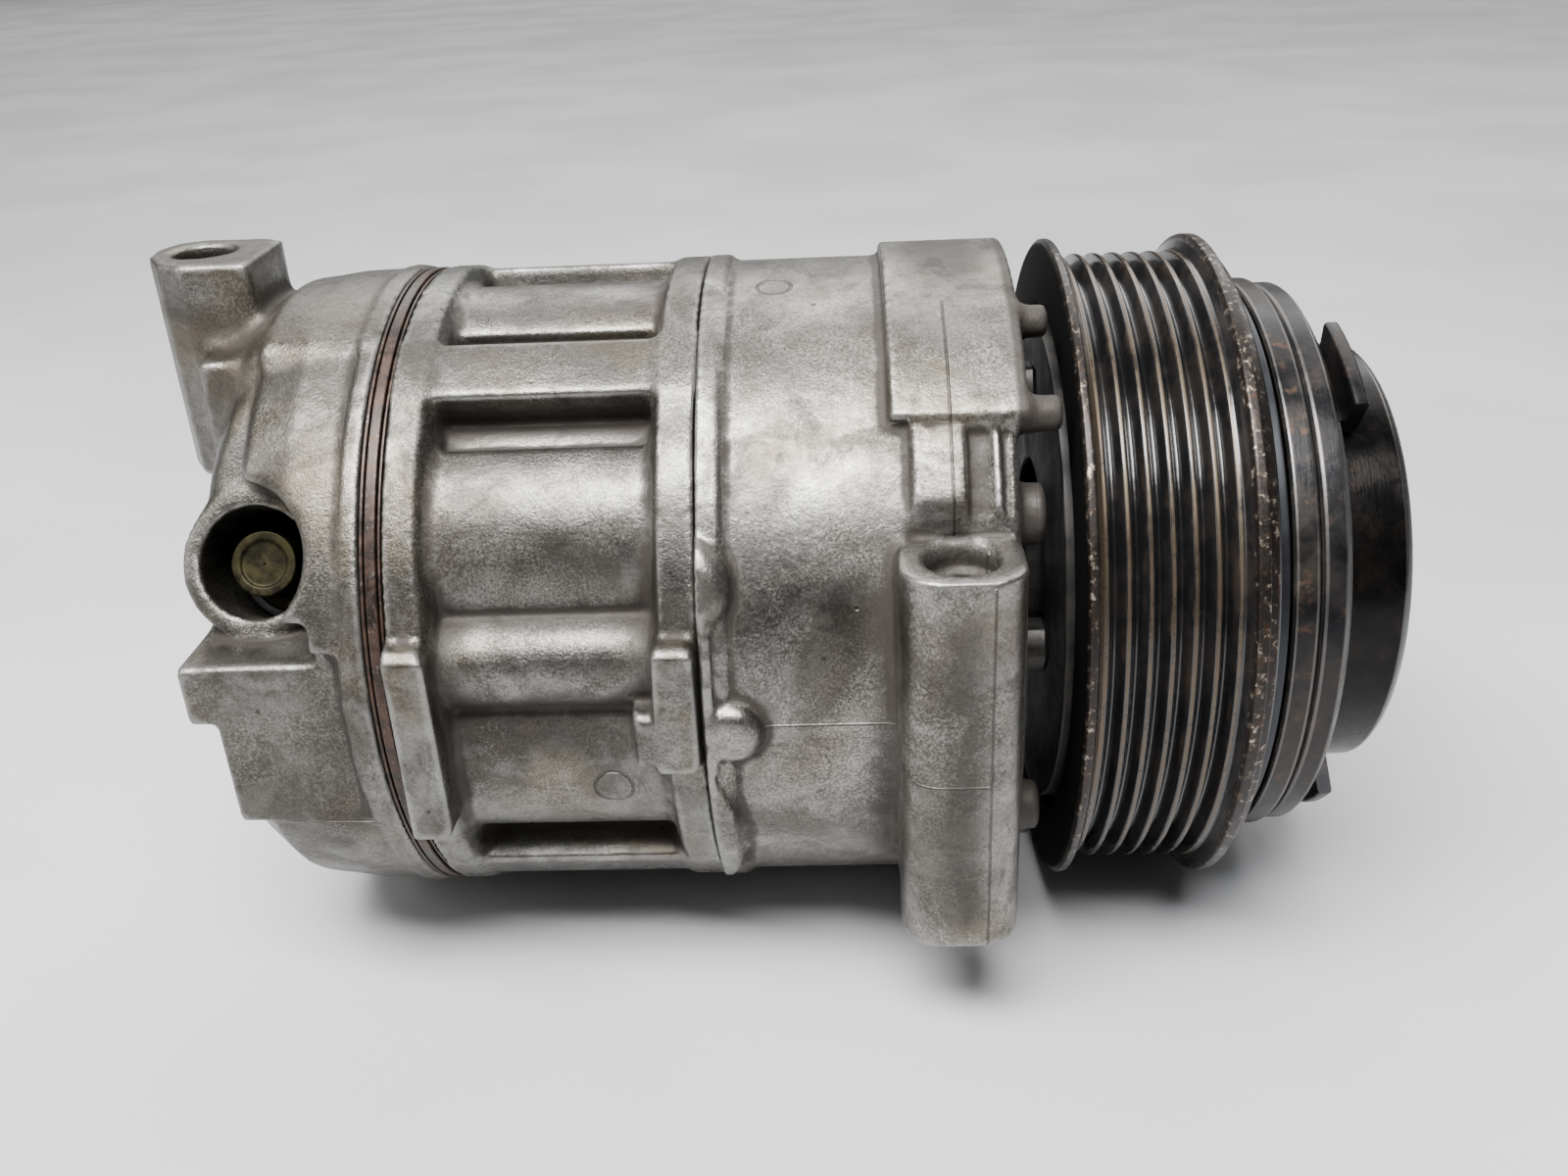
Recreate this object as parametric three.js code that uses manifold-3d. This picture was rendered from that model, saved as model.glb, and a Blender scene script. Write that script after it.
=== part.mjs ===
// Swash-plate refrigerant compressor with a magnetic clutch and a six-groove belt pulley.
// The shaft runs along X with the pulley at +X, and the mounting bolts run along Z. Millimetres.
import * as THREE from 'three';
import { mergeVertices } from 'three/addons/utils/BufferGeometryUtils.js';
import Module from 'manifold-3d';

const wasm = await Module();
wasm.setup();

// ---- lengthwise stations along the shaft ----
const X_HEAD_FACE = -49.5;
const X_BLOCK_REAR = -45.6;
const X_BLOCK_FRONT = 5.1;
const X_CASE_REAR = 5.4;
const X_CASE_FRONT = 57.6;
const X_CHAMBER_END = 52;
const X_NOSE_END = 94;

// ---- radii of the casing ----
const R_CASE = 61;
const R_CHAMBER = 54.5;
const R_NOSE = 19.7;

// ---- cylinders and bolts ----
const CYLINDERS = 7;
const R_PITCH = 38.5;
const R_BORE = 15.1;
const R_PISTON = 14.8;
const R_BARREL = 20;
const R_BOLT_CIRCLE = 51;
const R_BOLT = 2.8;
const R_BOLT_HOLE = 3.2;
const AZ_CYLINDER = 34.3;
const AZ_BOLT = 8.6;

// ---- swash plate and shoes ----
const X_SWASH = 14;
const SWASH_HALF = 5.5;
const R_SWASH = 47.5;
const R_SHOE = 8.4;
const SHOE_GAP = 0.35;

// ---- pulley ----
const GROOVES = 6;
const GROOVE_PITCH = 3.56;
const X_FIRST_CREST = 70.94;
const R_CREST = 59.2;
const R_ROOT = 56.2;
const R_FLANGE = 62.1;

// ---- mounting pillars and ear ----
const PILLAR_X = 47.6;
const PILLAR_Y = 58.8;
const PILLAR_WIDTH = 20;
const PILLAR_DEPTH = 18.4;
const PILLAR_CORNER = 5.5;
const PILLAR_TOP = 28;
const PILLAR_BOTTOM = -42;
const EAR_X = -88.2;
const EAR_Y = 1.2;
const EAR_TOP = 67;
const EAR_BOTTOM = 26;
const R_MOUNT_HOLE = 4.5;
const R_MOUNT_COUNTERBORE = 5.8;
const COUNTERBORE_DEPTH = 4.5;

// ---- the frame's origin is the near pillar's bolt hole on its lower face ----
const ORIGIN = [PILLAR_X, -PILLAR_Y, PILLAR_BOTTOM];

const BIG = 30;
const MID = 20;
const SMALL = 16;
const TINY = 6;

// ---- geometry helpers ----
const rad = (deg) => deg * Math.PI / 180;

function solid(geometry) {
  const g = geometry.clone();
  g.deleteAttribute('normal');
  g.deleteAttribute('uv');
  const merged = mergeVertices(g, 1e-4);
  const vertProperties = new Float32Array(merged.attributes.position.array);
  const triVerts = new Uint32Array(merged.index.array);
  return new wasm.Manifold(new wasm.Mesh({ numProp: 3, vertProperties, triVerts }));
}

function ringArea(profile) {
  let sum = 0;
  for (let i = 0; i < profile.length; i += 1) {
    const [x0, r0] = profile[i];
    const [x1, r1] = profile[(i + 1) % profile.length];
    sum += x0 * r1 - x1 * r0;
  }
  return sum;
}

// A solid of revolution about the shaft axis from a closed list of [x, radius] points.
function turned(profile, segments = BIG) {
  const loop = ringArea(profile) < 0 ? profile : [...profile].reverse();
  const points = loop.map(([x, r]) => new THREE.Vector2(r, x));
  const start = loop.findIndex(([, r]) => r === 0);
  if (start < 0) {
    points.push(points[0].clone());
    return solid(new THREE.LatheGeometry(points, segments).rotateZ(-Math.PI / 2));
  }
  const ends = loop.map(([, r], i) => (r === 0 ? i : -1)).filter((i) => i >= 0);
  const first = ends.find((i) => loop[(i + 1) % loop.length][1] > 0);
  const ordered = loop.map((_, i) => points[(first + i) % loop.length]);
  return solid(new THREE.LatheGeometry(ordered, segments).rotateZ(-Math.PI / 2));
}

function tube(x0, x1, rInner, rOuter, segments = BIG) {
  if (rInner === 0) {
    return turned([[x0, 0], [x0, rOuter], [x1, rOuter], [x1, 0]], segments);
  }
  return turned([[x0, rInner], [x0, rOuter], [x1, rOuter], [x1, rInner]], segments);
}

function box(x0, x1, y0, y1, z0, z1) {
  const g = new THREE.BoxGeometry(x1 - x0, y1 - y0, z1 - z0);
  return solid(g.translate((x0 + x1) / 2, (y0 + y1) / 2, (z0 + z1) / 2));
}

// A rod along X at a given azimuth (degrees up from -Y) and radius from the shaft axis.
function rodX(x0, x1, radius, azimuth, offset, segments = SMALL) {
  const g = new THREE.CylinderGeometry(radius, radius, x1 - x0, segments);
  g.rotateZ(-Math.PI / 2);
  const [y, z] = polar(azimuth, offset);
  return solid(g.translate((x0 + x1) / 2, y, z));
}

function rodZ(x, y, z0, z1, r0, r1 = r0, segments = SMALL) {
  const g = new THREE.CylinderGeometry(r1, r0, z1 - z0, segments);
  return solid(g.rotateX(Math.PI / 2).translate(x, y, (z0 + z1) / 2));
}

function rodY(x, z, y0, y1, radius, segments = SMALL) {
  const g = new THREE.CylinderGeometry(radius, radius, y1 - y0, segments);
  return solid(g.translate(x, (y0 + y1) / 2, z));
}

function polar(azimuth, radius) {
  return [-radius * Math.cos(rad(azimuth)), radius * Math.sin(rad(azimuth))];
}

// A prism along Z from [x, y] corners.
function prismZ(corners, z0, z1) {
  const shape = new THREE.Shape(corners.map(([x, y]) => new THREE.Vector2(x, y)));
  const g = new THREE.ExtrudeGeometry(shape, { depth: z1 - z0, bevelEnabled: false });
  return solid(g.translate(0, 0, z0));
}

// A prism along Y from [x, z] corners.
function prismY(corners, y0, y1) {
  const shape = new THREE.Shape(corners.map(([x, z]) => new THREE.Vector2(x, z)));
  const g = new THREE.ExtrudeGeometry(shape, { depth: y1 - y0, bevelEnabled: false });
  return solid(g.rotateX(Math.PI / 2).translate(0, y1, 0));
}

// Turns a body made at azimuth 90 (+Z) about the shaft axis to another azimuth.
function toAzimuth(body, azimuth) {
  return body.rotate([90 - azimuth, 0, 0]);
}

// The part of space between two azimuths less than 120 degrees apart, for shapes round the shaft.
function wedge(x0, x1, az0, az1) {
  const reach = 130;
  const corners = [az0, (az0 + az1) / 2, az1].map((az) => new THREE.Vector2(...polar(az, reach)));
  const shape = new THREE.Shape([new THREE.Vector2(0, 0), ...corners.reverse()]);
  const g = new THREE.ExtrudeGeometry(shape, { depth: x1 - x0, bevelEnabled: false });
  const turn = new THREE.Matrix4().makeBasis(
    new THREE.Vector3(0, 1, 0), new THREE.Vector3(0, 0, 1), new THREE.Vector3(1, 0, 0));
  return solid(g.applyMatrix4(turn).translate(x0, 0, 0));
}

// A curved bar round the shaft, from one radius to another and one azimuth to another.
function sector(x0, x1, rInner, rOuter, az0, az1, segments = BIG) {
  return tube(x0, x1, rInner, rOuter, segments).intersect(wedge(x0 - 1, x1 + 1, az0, az1));
}

function around(count, first, make) {
  const step = 360 / count;
  return Array.from({ length: count }, (_, i) => make(first + i * step, i));
}

function joinAll(bodies) {
  return bodies.reduce((all, one) => all.add(one));
}

function cutAll(body, cutters) {
  return cutters.reduce((left, one) => left.subtract(one), body);
}

function roundedRect(width, depth, corner) {
  const shape = new THREE.Shape();
  const [w, d, c] = [width / 2, depth / 2, corner];
  shape.moveTo(-w + c, -d);
  shape.lineTo(w - c, -d);
  shape.quadraticCurveTo(w, -d, w, -d + c);
  shape.lineTo(w, d - c);
  shape.quadraticCurveTo(w, d, w - c, d);
  shape.lineTo(-w + c, d);
  shape.quadraticCurveTo(-w, d, -w, d - c);
  shape.lineTo(-w, -d + c);
  shape.quadraticCurveTo(-w, -d, -w + c, -d);
  return shape;
}

// ---- rear head ----
const VALVE_AZ = 28.6;
const VALVE_X = -72.5;
const R_VALVE_BORE = 9.8;
const R_VALVE_BOSS = 13.2;
const R_VALVE_CLEAR = 13;
const R_VALVE_TIP = 5.8;
const VALVE_MOUTH = 46.5;
const VALVE_TIP = 43;
const VALVE_SEAT = 6;
const Y_PORT_BLOCK = -56.5;
const PORT_BLOCK_TOP = 10;
const PAD_FACE = 63.4;
const PAD_Z = 2;
const SUCTION_PORT = { x: -76, radius: 7.2, depth: 26 };
const DISCHARGE_PORT = { x: -61, radius: 5.6, depth: 34 };
const PORT_SCREW = { x: -69, z: -12, radius: 3.3, depth: 18 };
const CHAMBER_END = -63;

// A rod along the control valve's radial axis, from one distance to another.
function valveRod(d0, d1, radius) {
  return toAzimuth(rodZ(VALVE_X, 0, d0, d1, radius), VALVE_AZ);
}

function headShell() {
  const dome = turned([
    [X_HEAD_FACE, 0], [X_HEAD_FACE, 61.2], [-52.4, 61.2], [-53.4, 60], [-62, 59.9],
    [-70, 57.6], [-77, 52], [-82, 45], [-84.5, 36], [-84.5, 0],
  ]);
  const crown = turned([[-52, 0], [-52, 60], [-71, 59.6], [-76, 55], [-76, 0]]);
  const keel = turned([[-52, 0], [-52, 60], [-73, 59.2], [-79, 54], [-81, 40], [-81, 0]]);
  return joinAll([
    dome,
    crown.intersect(wedge(-90, -50, 66, 114)),
    keel.intersect(wedge(-90, -50, -70, 6)),
  ]);
}

function ear() {
  const post = prismZ([
    [-98.3, 4], [-96.5, 9], [-92, 11.4], [-79.5, 11], [-76, 8.6], [-75.6, -10.6],
    [-77, -11.4], [-88, -11.4], [-93.5, -8], [-97.4, -2],
  ], EAR_BOTTOM, EAR_TOP);
  const root = prismZ([[-86, -13], [-70, -20], [-64, 24], [-86, 18]], 8, 52);
  const rib = box(-84.5, -76.5, -21, -8, 30, 52);
  return joinAll([post, root, rib]);
}

// What is cut from the dome: round the valve's boss down to the mouth's plane, and above the port block.
function bossClearance() {
  const behindValve = toAzimuth(box(-110, VALVE_X, -60, 60, VALVE_MOUTH, 90), VALVE_AZ);
  const overMouth = behindValve.add(valveRod(VALVE_MOUTH, 90, R_VALVE_CLEAR));
  const overBlock = box(-110, -59.2, -80, -33, PORT_BLOCK_TOP, 18);
  return overMouth.intersect(box(-120, 0, -90, 90, PORT_BLOCK_TOP, 90)).add(overBlock);
}

function rearHead() {
  const faceCut = box(-110, -54.6, -80, Y_PORT_BLOCK, -20.5, 13);
  const portBlock = box(-78.6, -54.6, Y_PORT_BLOCK, 0, -21, PORT_BLOCK_TOP);
  const portStep = box(-83.4, -60, Y_PORT_BLOCK, -12, -1.2, PORT_BLOCK_TOP);
  const portPad = box(-84, -54, 20, PAD_FACE, PAD_Z - 20, PAD_Z + 20);
  const body = headShell().subtract(faceCut).subtract(bossClearance());
  const boss = valveRod(0, VALVE_MOUTH, R_VALVE_BOSS);
  const ports = [SUCTION_PORT, DISCHARGE_PORT].map(({ x, radius, depth }) => (
    rodY(x, PAD_Z, PAD_FACE - depth, PAD_FACE + 1, radius)));
  return cutAll(joinAll([body, boss, ear(), portBlock, portStep, portPad]), [
    valveRod(VALVE_SEAT, VALVE_MOUTH + 30, R_VALVE_BORE),
    rodZ(EAR_X, EAR_Y, EAR_TOP - 12, EAR_TOP + 1, R_MOUNT_COUNTERBORE),
    rodZ(EAR_X, EAR_Y, 2, EAR_TOP + 1, R_MOUNT_HOLE),
    tube(CHAMBER_END, X_HEAD_FACE + 1, 19, 45),
    tube(CHAMBER_END + 2, X_HEAD_FACE + 1, 0, 15),
    ...ports,
    rodY(PORT_SCREW.x, PORT_SCREW.z, PAD_FACE - PORT_SCREW.depth, PAD_FACE + 1, PORT_SCREW.radius),
    ...boltHoles(-64, -40),
  ]);
}

function controlValve() {
  const neck = valveRod(VALVE_SEAT + 0.4, 26, 7.4);
  const collar = valveRod(22, 28, R_VALVE_BORE - 0.35);
  return joinAll([neck, collar, valveRod(27, VALVE_TIP, R_VALVE_TIP)]);
}

const valveSnapRing = () => valveRod(28.4, 29.6, R_VALVE_BORE - 0.3).subtract(valveRod(27, 31, 8));

// ---- valve plate stack between the rear head and the block ----
function boltHoles(x0, x1) {
  return around(CYLINDERS, AZ_BOLT, (az) => rodX(x0, x1, R_BOLT_HOLE, az, R_BOLT_CIRCLE, 8));
}

function portHoles(x0, x1, offset, radius) {
  return around(CYLINDERS, AZ_CYLINDER, (az) => rodX(x0, x1, radius, az, offset, TINY));
}

function headGasket() {
  return cutAll(tube(-49.2, -48.7, 46, 61), boltHoles(-52, -46));
}

function dischargeReed() {
  const reach = around(CYLINDERS, AZ_CYLINDER, (az) => rodX(-49.1, -48.7, 4.6, az, 38, 8));
  return joinAll([tube(-49.1, -48.7, 4, 35), ...reach]);
}

function reedRetainer() {
  const reach = around(CYLINDERS, AZ_CYLINDER, (az) => rodX(-50.8, -49.5, 4.2, az, 37, 8));
  return joinAll([tube(-50.8, -49.5, 19.6, 34), ...reach]);
}

function valvePlate() {
  const ports = [...portHoles(-50, -45, 38, 3), ...portHoles(-50, -45, 47, 1.8)];
  return cutAll(tube(-48.4, -46.6, 0, 61), [...boltHoles(-50, -45), ...ports]);
}

function suctionReed() {
  return cutAll(tube(-46.3, -45.9, 0, 60.6), [...boltHoles(-50, -45), ...portHoles(-50, -45, 38, 3.4)]);
}

// ---- cylinder block ----
const BLOCK_CORE = 50;
const R_BAND = 60.5;
const BAND_HALF_ANGLE = 6;
const R_BOLT_TUBE = 8;
const Y_LUG = -63.8;

function blockOutside() {
  const barrels = around(CYLINDERS, AZ_CYLINDER, (az) => (
    rodX(X_BLOCK_REAR, X_BLOCK_FRONT, R_BARREL, az, R_PITCH, 24)));
  const [boltTube, ...bands] = around(CYLINDERS, AZ_BOLT, (az, i) => (i === 0
    ? rodX(X_BLOCK_REAR, X_BLOCK_FRONT, R_BOLT_TUBE, az, R_BOLT_CIRCLE)
    : sector(X_BLOCK_REAR, X_BLOCK_FRONT, 30, R_BAND, az - BAND_HALF_ANGLE, az + BAND_HALF_ANGLE)));
  const rims = [tube(X_BLOCK_REAR, -39.8, 0, R_CASE), tube(-1, X_BLOCK_FRONT, 0, R_CASE)];
  const core = tube(X_BLOCK_REAR, X_BLOCK_FRONT, 0, BLOCK_CORE);
  return joinAll([core, ...barrels, boltTube, ...bands, ...rims]);
}

function blockLugs() {
  const rear = prismY([
    [X_BLOCK_REAR, -20.5], [-39.3, -20.5], [-38.7, -18], [-38.9, 13.6], [-40, 15.5], [X_BLOCK_REAR, 15.5],
  ], Y_LUG, -46);
  const front = prismY([
    [-6.3, -7.6], [4, -8], [4.6, -6], [4.6, 14], [3.6, 15.2], [-1.4, 15.2], [-2.2, 14], [-2.6, 2.4],
    [-6.3, 2.4],
  ], Y_LUG, -46);
  return rear.add(front);
}

function cylinderBlock() {
  const body = blockOutside().add(blockLugs());
  return cutAll(body, [
    ...around(CYLINDERS, AZ_CYLINDER, (az) => rodX(-50, 10, R_BORE, az, R_PITCH, 18)),
    ...boltHoles(-50, 10),
    tube(-50, 10, 0, 9.4, SMALL),
    tube(-41, -22, 0, 13.4, SMALL),
  ]);
}

// ---- front housing ----
function pillar(side) {
  const y = side * PILLAR_Y;
  const g = new THREE.ExtrudeGeometry(roundedRect(PILLAR_WIDTH, PILLAR_DEPTH, PILLAR_CORNER), {
    depth: PILLAR_TOP - PILLAR_BOTTOM, bevelEnabled: false, curveSegments: 5,
  });
  const post = solid(g.translate(PILLAR_X, y, PILLAR_BOTTOM));
  const [inner, outer] = [side * 20, y].sort((a, b) => a - b);
  const web = box(PILLAR_X - 11.5, PILLAR_X + 9.5, inner, outer, -33, 26);
  return post.add(web);
}

function pillarHole(side) {
  const y = side * PILLAR_Y;
  const bore = rodZ(PILLAR_X, y, PILLAR_BOTTOM - 1, PILLAR_TOP + 1, R_MOUNT_HOLE);
  const counterbore = rodZ(PILLAR_X, y, PILLAR_TOP - COUNTERBORE_DEPTH, PILLAR_TOP + 1, R_MOUNT_COUNTERBORE);
  return joinAll([bore, counterbore, rodZ(PILLAR_X, y, PILLAR_TOP - 1, PILLAR_TOP + 0.01, 5.7, 6.7)]);
}

const R_SEAM_STRIP = 62.9;

// Bosses of the mould round the casing: a raised pad at the top, and four along the seam with the block.
function housingDetails() {
  const shoulder = sector(36.2, 59.6, 56, 62.4, 48.5, 104);
  const seamBoss = toAzimuth(rodZ(3.5, 0, 50, 63.1, 15, 6.5), 22).intersect(tube(5.7, 15, 0, 64));
  const nub = prismY([[6.4, -7], [13.6, -6.6], [15.4, -3], [13.8, 0.2], [6.4, 0.4]], -62.8, -48);
  const upperStrip = sector(5.7, 7.3, 50, R_SEAM_STRIP, -9, 5);
  const stripOutline = [[5.7, -42], [8.6, -42], [11.6, -29], [10.6, -24], [8.6, -9.6], [5.7, -9.6]];
  const lowerStrip = prismY(stripOutline, -62, -30).intersect(tube(5, 20, 0, R_SEAM_STRIP));
  return [shoulder, seamBoss, nub, upperStrip, lowerStrip];
}

// Short round lugs that stand forward from the casing's front: azimuth, offset, radius and reach in X.
const FINGERS = [
  [70, 56.4, 4, 62.4],
  [49.6, 57.4, 3.7, 65.2],
  [33.4, 50.5, 5.2, 62.4],
  [-28, 55, 4.4, 62.4],
];

function frontHousing() {
  const shell = turned([
    [X_CASE_REAR, 0], [X_CASE_REAR, 61.3], [9.2, 61.3], [9.9, 60.2], [39.9, 60.2],
    [41, 61.8], [X_CASE_FRONT - 1.2, 61.8], [X_CASE_FRONT, 60], [X_CASE_FRONT, 0],
  ]);
  const nose = tube(X_CASE_FRONT - 1, X_NOSE_END, 0, R_NOSE, MID);
  const fingers = FINGERS.map(([az, offset, radius, reach]) => (
    rodX(X_CASE_FRONT - 2, reach, radius, az, offset, 12)));
  const body = joinAll([shell, nose, ...housingDetails(), pillar(-1), pillar(1), ...fingers]);
  return cutAll(body, [
    sector(49.6, X_CASE_FRONT + 1, 60.4, 64, 28, 46.5),
    tube(X_CASE_REAR - 1, X_CHAMBER_END, 0, R_CHAMBER),
    tube(50, 60.9, 0, 15.4, SMALL),
    tube(60, 100, 0, 14.3, SMALL),
    ...boltHoles(40, X_CASE_FRONT + 1),
    pillarHole(-1),
    pillarHole(1),
  ]);
}

function throughBolt(azimuth) {
  const head = new THREE.CylinderGeometry(4.6, 4.6, 4.6, 6).rotateZ(-Math.PI / 2);
  const [y, z] = polar(azimuth, R_BOLT_CIRCLE);
  const hex = solid(head.translate(X_CASE_FRONT + 2.6, y, z));
  return hex.add(rodX(-62, X_CASE_FRONT + 1, R_BOLT, azimuth, R_BOLT_CIRCLE, TINY));
}

// ---- bearings and seal on the shaft ----
const frontBearing = () => tube(52.4, 60.2, 8.8, 15.1, SMALL);
const rearBearing = () => tube(-40, -23, 8.8, 13.1, SMALL);
const thrustBearing = () => tube(48.3, 51.7, 16.9, 28, MID);

function shaftSeal() {
  return turned([
    [64, 9.6], [64, 14], [74, 14], [74, 12.4], [69, 12.2], [69, 8.8], [66, 8.8], [66, 9.6],
  ], SMALL);
}

const sealSnapRing = () => tube(74.6, 75.8, 10.4, 14, SMALL);

// ---- clutch coil, pulley and its bearing ----
function fieldCoil() {
  return turned([
    [66.2, 20], [66.2, 47.4], [69.4, 47.4], [69.4, 48.4], [93, 48.4], [93, 37], [70, 37], [70, 20],
  ]);
}

const coilSnapRing = () => tube(70.4, 71.8, 20.1, 22.8, MID);
const bearingSnapRing = () => tube(92.4, 93.7, 20.1, 22.8, MID);
const pulleyBearing = () => tube(74, 92, 20.2, 30.8, MID);

function pulley() {
  const grooves = [];
  for (let i = 0; i < GROOVES; i += 1) {
    const x = X_FIRST_CREST + i * GROOVE_PITCH;
    grooves.push([x, R_CREST], [x + 1.5, R_ROOT], [x + 2.06, R_ROOT]);
  }
  return turned([
    [67.3, 50], [67.3, 60.8], [68.1, R_FLANGE], [69.2, R_FLANGE],
    ...grooves,
    [92.3, R_CREST], [94.2, R_FLANGE], [96, R_FLANGE], [96.5, 59.4], [98.4, 58.6], [98.8, 53.4],
    [101.6, 53.4], [101.6, 33], [95.6, 28.6], [93.9, 28.6], [93.9, 31.3], [73, 31.3], [71, 35.4],
    [95, 35.4], [95, 50],
  ]);
}

// ---- shaft, swash plate and what turns with them ----
function driveShaft() {
  return turned([
    [-39.5, 0], [-39.5, 7.6], [-38.7, 8.4], [96.4, 8.4], [96.4, 6.8], [113, 6.8], [113.2, 5], [120, 5],
    [120, 0],
  ], SMALL);
}

function lugPlate() {
  const disc = turned([
    [36, 8.8], [36, 30], [40, 43.5], [47.9, 43.5], [47.9, 16.2], [50.6, 16.2], [50.6, 8.8],
  ]);
  const ears = [[-10.4, -5.2], [5.2, 10.4]].map(([y0, y1]) => box(27, 38, y0, y1, 12.6, 26));
  const slot = prismY([[28.2, 15.6], [34.2, 15.6], [34.2, 21.8], [28.2, 21.8]], -20, 20);
  return joinAll([disc, ...ears]).subtract(slot);
}

function swashPlate() {
  const plate = tube(X_SWASH - SWASH_HALF, X_SWASH + SWASH_HALF, 0, R_SWASH);
  const hub = tube(X_SWASH - SWASH_HALF - 2, 24, 0, 14.5);
  const arm = box(19, 34, -4.7, 4.7, 13.4, 22.5);
  const balance = box(19, 25, -8, 8, -21.5, -13);
  const body = joinAll([plate, hub, arm, balance]);
  return cutAll(body, [tube(0, 40, 0, 9.2, SMALL), rodY(31.2, 18.4, -20, 20, 2.8, 12)]);
}

const guidePin = () => rodY(31.2, 18.4, -10, 10, 2.4, 12);

function returnSpring() {
  const turns = 3;
  class Helix extends THREE.Curve {
    getPoint(t, target = new THREE.Vector3()) {
      const a = 2 * Math.PI * turns * t;
      return target.set(25.8 + 8.8 * t, 11 * Math.cos(a), 11 * Math.sin(a));
    }
  }
  const wire = new THREE.Shape();
  wire.absarc(0, 0, 1.1, 0, 2 * Math.PI);
  return solid(new THREE.ExtrudeGeometry(wire, {
    steps: 30, curveSegments: 3, bevelEnabled: false, extrudePath: new Helix(),
  }));
}

// ---- pistons and shoes, made at the top and turned to their cylinder ----
function piston(azimuth) {
  const barrel = rodX(-44.6, 26, R_PISTON, 90, R_PITCH, 18);
  const lighten = box(-15, 1.6, -20, 20, 0, R_PITCH + 4);
  const slot = box(X_SWASH - 6.4, X_SWASH + 6.4, -20, 20, 0, R_PITCH + 11);
  const seat = solid(new THREE.SphereGeometry(R_SHOE + 0.8, 12, 8).translate(X_SWASH, 0, R_PITCH));
  return toAzimuth(cutAll(barrel, [lighten, slot, seat]), azimuth);
}

function shoe(azimuth, side) {
  const flat = SWASH_HALF + SHOE_GAP;
  const angles = [0, 0.4, 0.75, 1].map((t) => t * Math.acos(flat / R_SHOE));
  const cap = angles.map((a) => [R_SHOE * Math.cos(a), R_SHOE * Math.sin(a)]);
  const body = turned([[flat, 0], [cap[0][0], 0], ...cap.slice(1)], 10);
  const placed = side > 0 ? body : body.rotate([0, 180, 0]);
  return toAzimuth(placed.translate([X_SWASH, 0, R_PITCH]), azimuth);
}

// ---- clutch hub ----
function armaturePlate() {
  return turned([[102.2, 33], [102.2, 53], [102.7, 53.5], [106.1, 53.5], [106.6, 53], [106.6, 33]]);
}

function hubRing() {
  return turned([[107.1, 24], [107.1, 52.5], [111.4, 52.5], [112.6, 50.4], [112.6, 24]]);
}

function hubBoss() {
  return turned([[96.8, 7.1], [96.8, 11.6], [106.8, 11.6], [106.8, 15], [112.6, 15], [112.6, 7.1]], MID);
}

const hubDamper = () => tube(107.4, 112.3, 15.4, 23.5, MID);

const LOBES = 3;
const AZ_LOBE = 67;

function springPlate() {
  const disc = tube(113, 114.4, 7.4, 38);
  const lobes = around(LOBES, AZ_LOBE, (az) => toAzimuth(box(113, 114.4, -10, 10, 20, 43), az));
  const tabs = around(LOBES, AZ_LOBE, (az) => {
    const root = sector(113, 118.4, 41.2, 43.2, az - 11, az + 11);
    return root.add(sector(115.8, 118.4, 41.2, 49.8, az - 12.5, az + 12.5));
  });
  return joinAll([disc, ...lobes, ...tabs]);
}

function hubCup() {
  return turned([
    [114.8, 37.6], [114.8, 40.1], [115.4, 40.5], [125.6, 40.5], [126.8, 39.3], [126.8, 12.5],
    [125, 12.5], [125, 36.8], [116.4, 37.6],
  ]);
}

function shaftNut() {
  const hex = new THREE.CylinderGeometry(9.2, 9.2, 5.6, 6).rotateZ(-Math.PI / 2);
  return solid(hex.translate(117.6, 0, 0)).subtract(tube(110, 125, 0, 5.3, SMALL));
}

// ---- colours and finishes ----
const CAST = { color: 0xa9a8a2, roughness: 0.5, metalness: 0.9 };
const CAST_FRONT = { color: 0xafaea8, roughness: 0.45, metalness: 0.9 };
const STEEL = { color: 0x8b8a87, roughness: 0.35, metalness: 1 };
const BOLT_STEEL = { color: 0x6d6a66, roughness: 0.4, metalness: 1 };
const DARK_STEEL = { color: 0x2e2b29, roughness: 0.42, metalness: 0.9 };
const BLACK_PAINT = { color: 0x121212, roughness: 0.22, metalness: 0.4 };
const CUP_BLACK = { color: 0x1c1a19, roughness: 0.4, metalness: 0.5 };
const BRASS = { color: 0x8d8a52, roughness: 0.45, metalness: 0.8 };
const GASKET = { color: 0x4a2f26, roughness: 0.75, metalness: 0.1 };
const RUBBER = { color: 0x161616, roughness: 0.85, metalness: 0 };
const BRONZE = { color: 0x8a6a3c, roughness: 0.4, metalness: 0.9 };

const group = new THREE.Group();
group.name = 'ac_compressor';

function addPart(name, body, look) {
  const mesh = body.getMesh();
  const geometry = new THREE.BufferGeometry();
  geometry.setAttribute('position', new THREE.BufferAttribute(new Float32Array(mesh.vertProperties), 3));
  geometry.setIndex(new THREE.BufferAttribute(new Uint32Array(mesh.triVerts), 1));
  geometry.translate(-ORIGIN[0], -ORIGIN[1], -ORIGIN[2]);
  geometry.computeVertexNormals();
  const part = new THREE.Mesh(geometry, new THREE.MeshStandardMaterial(look));
  part.name = name;
  group.add(part);
}

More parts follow.
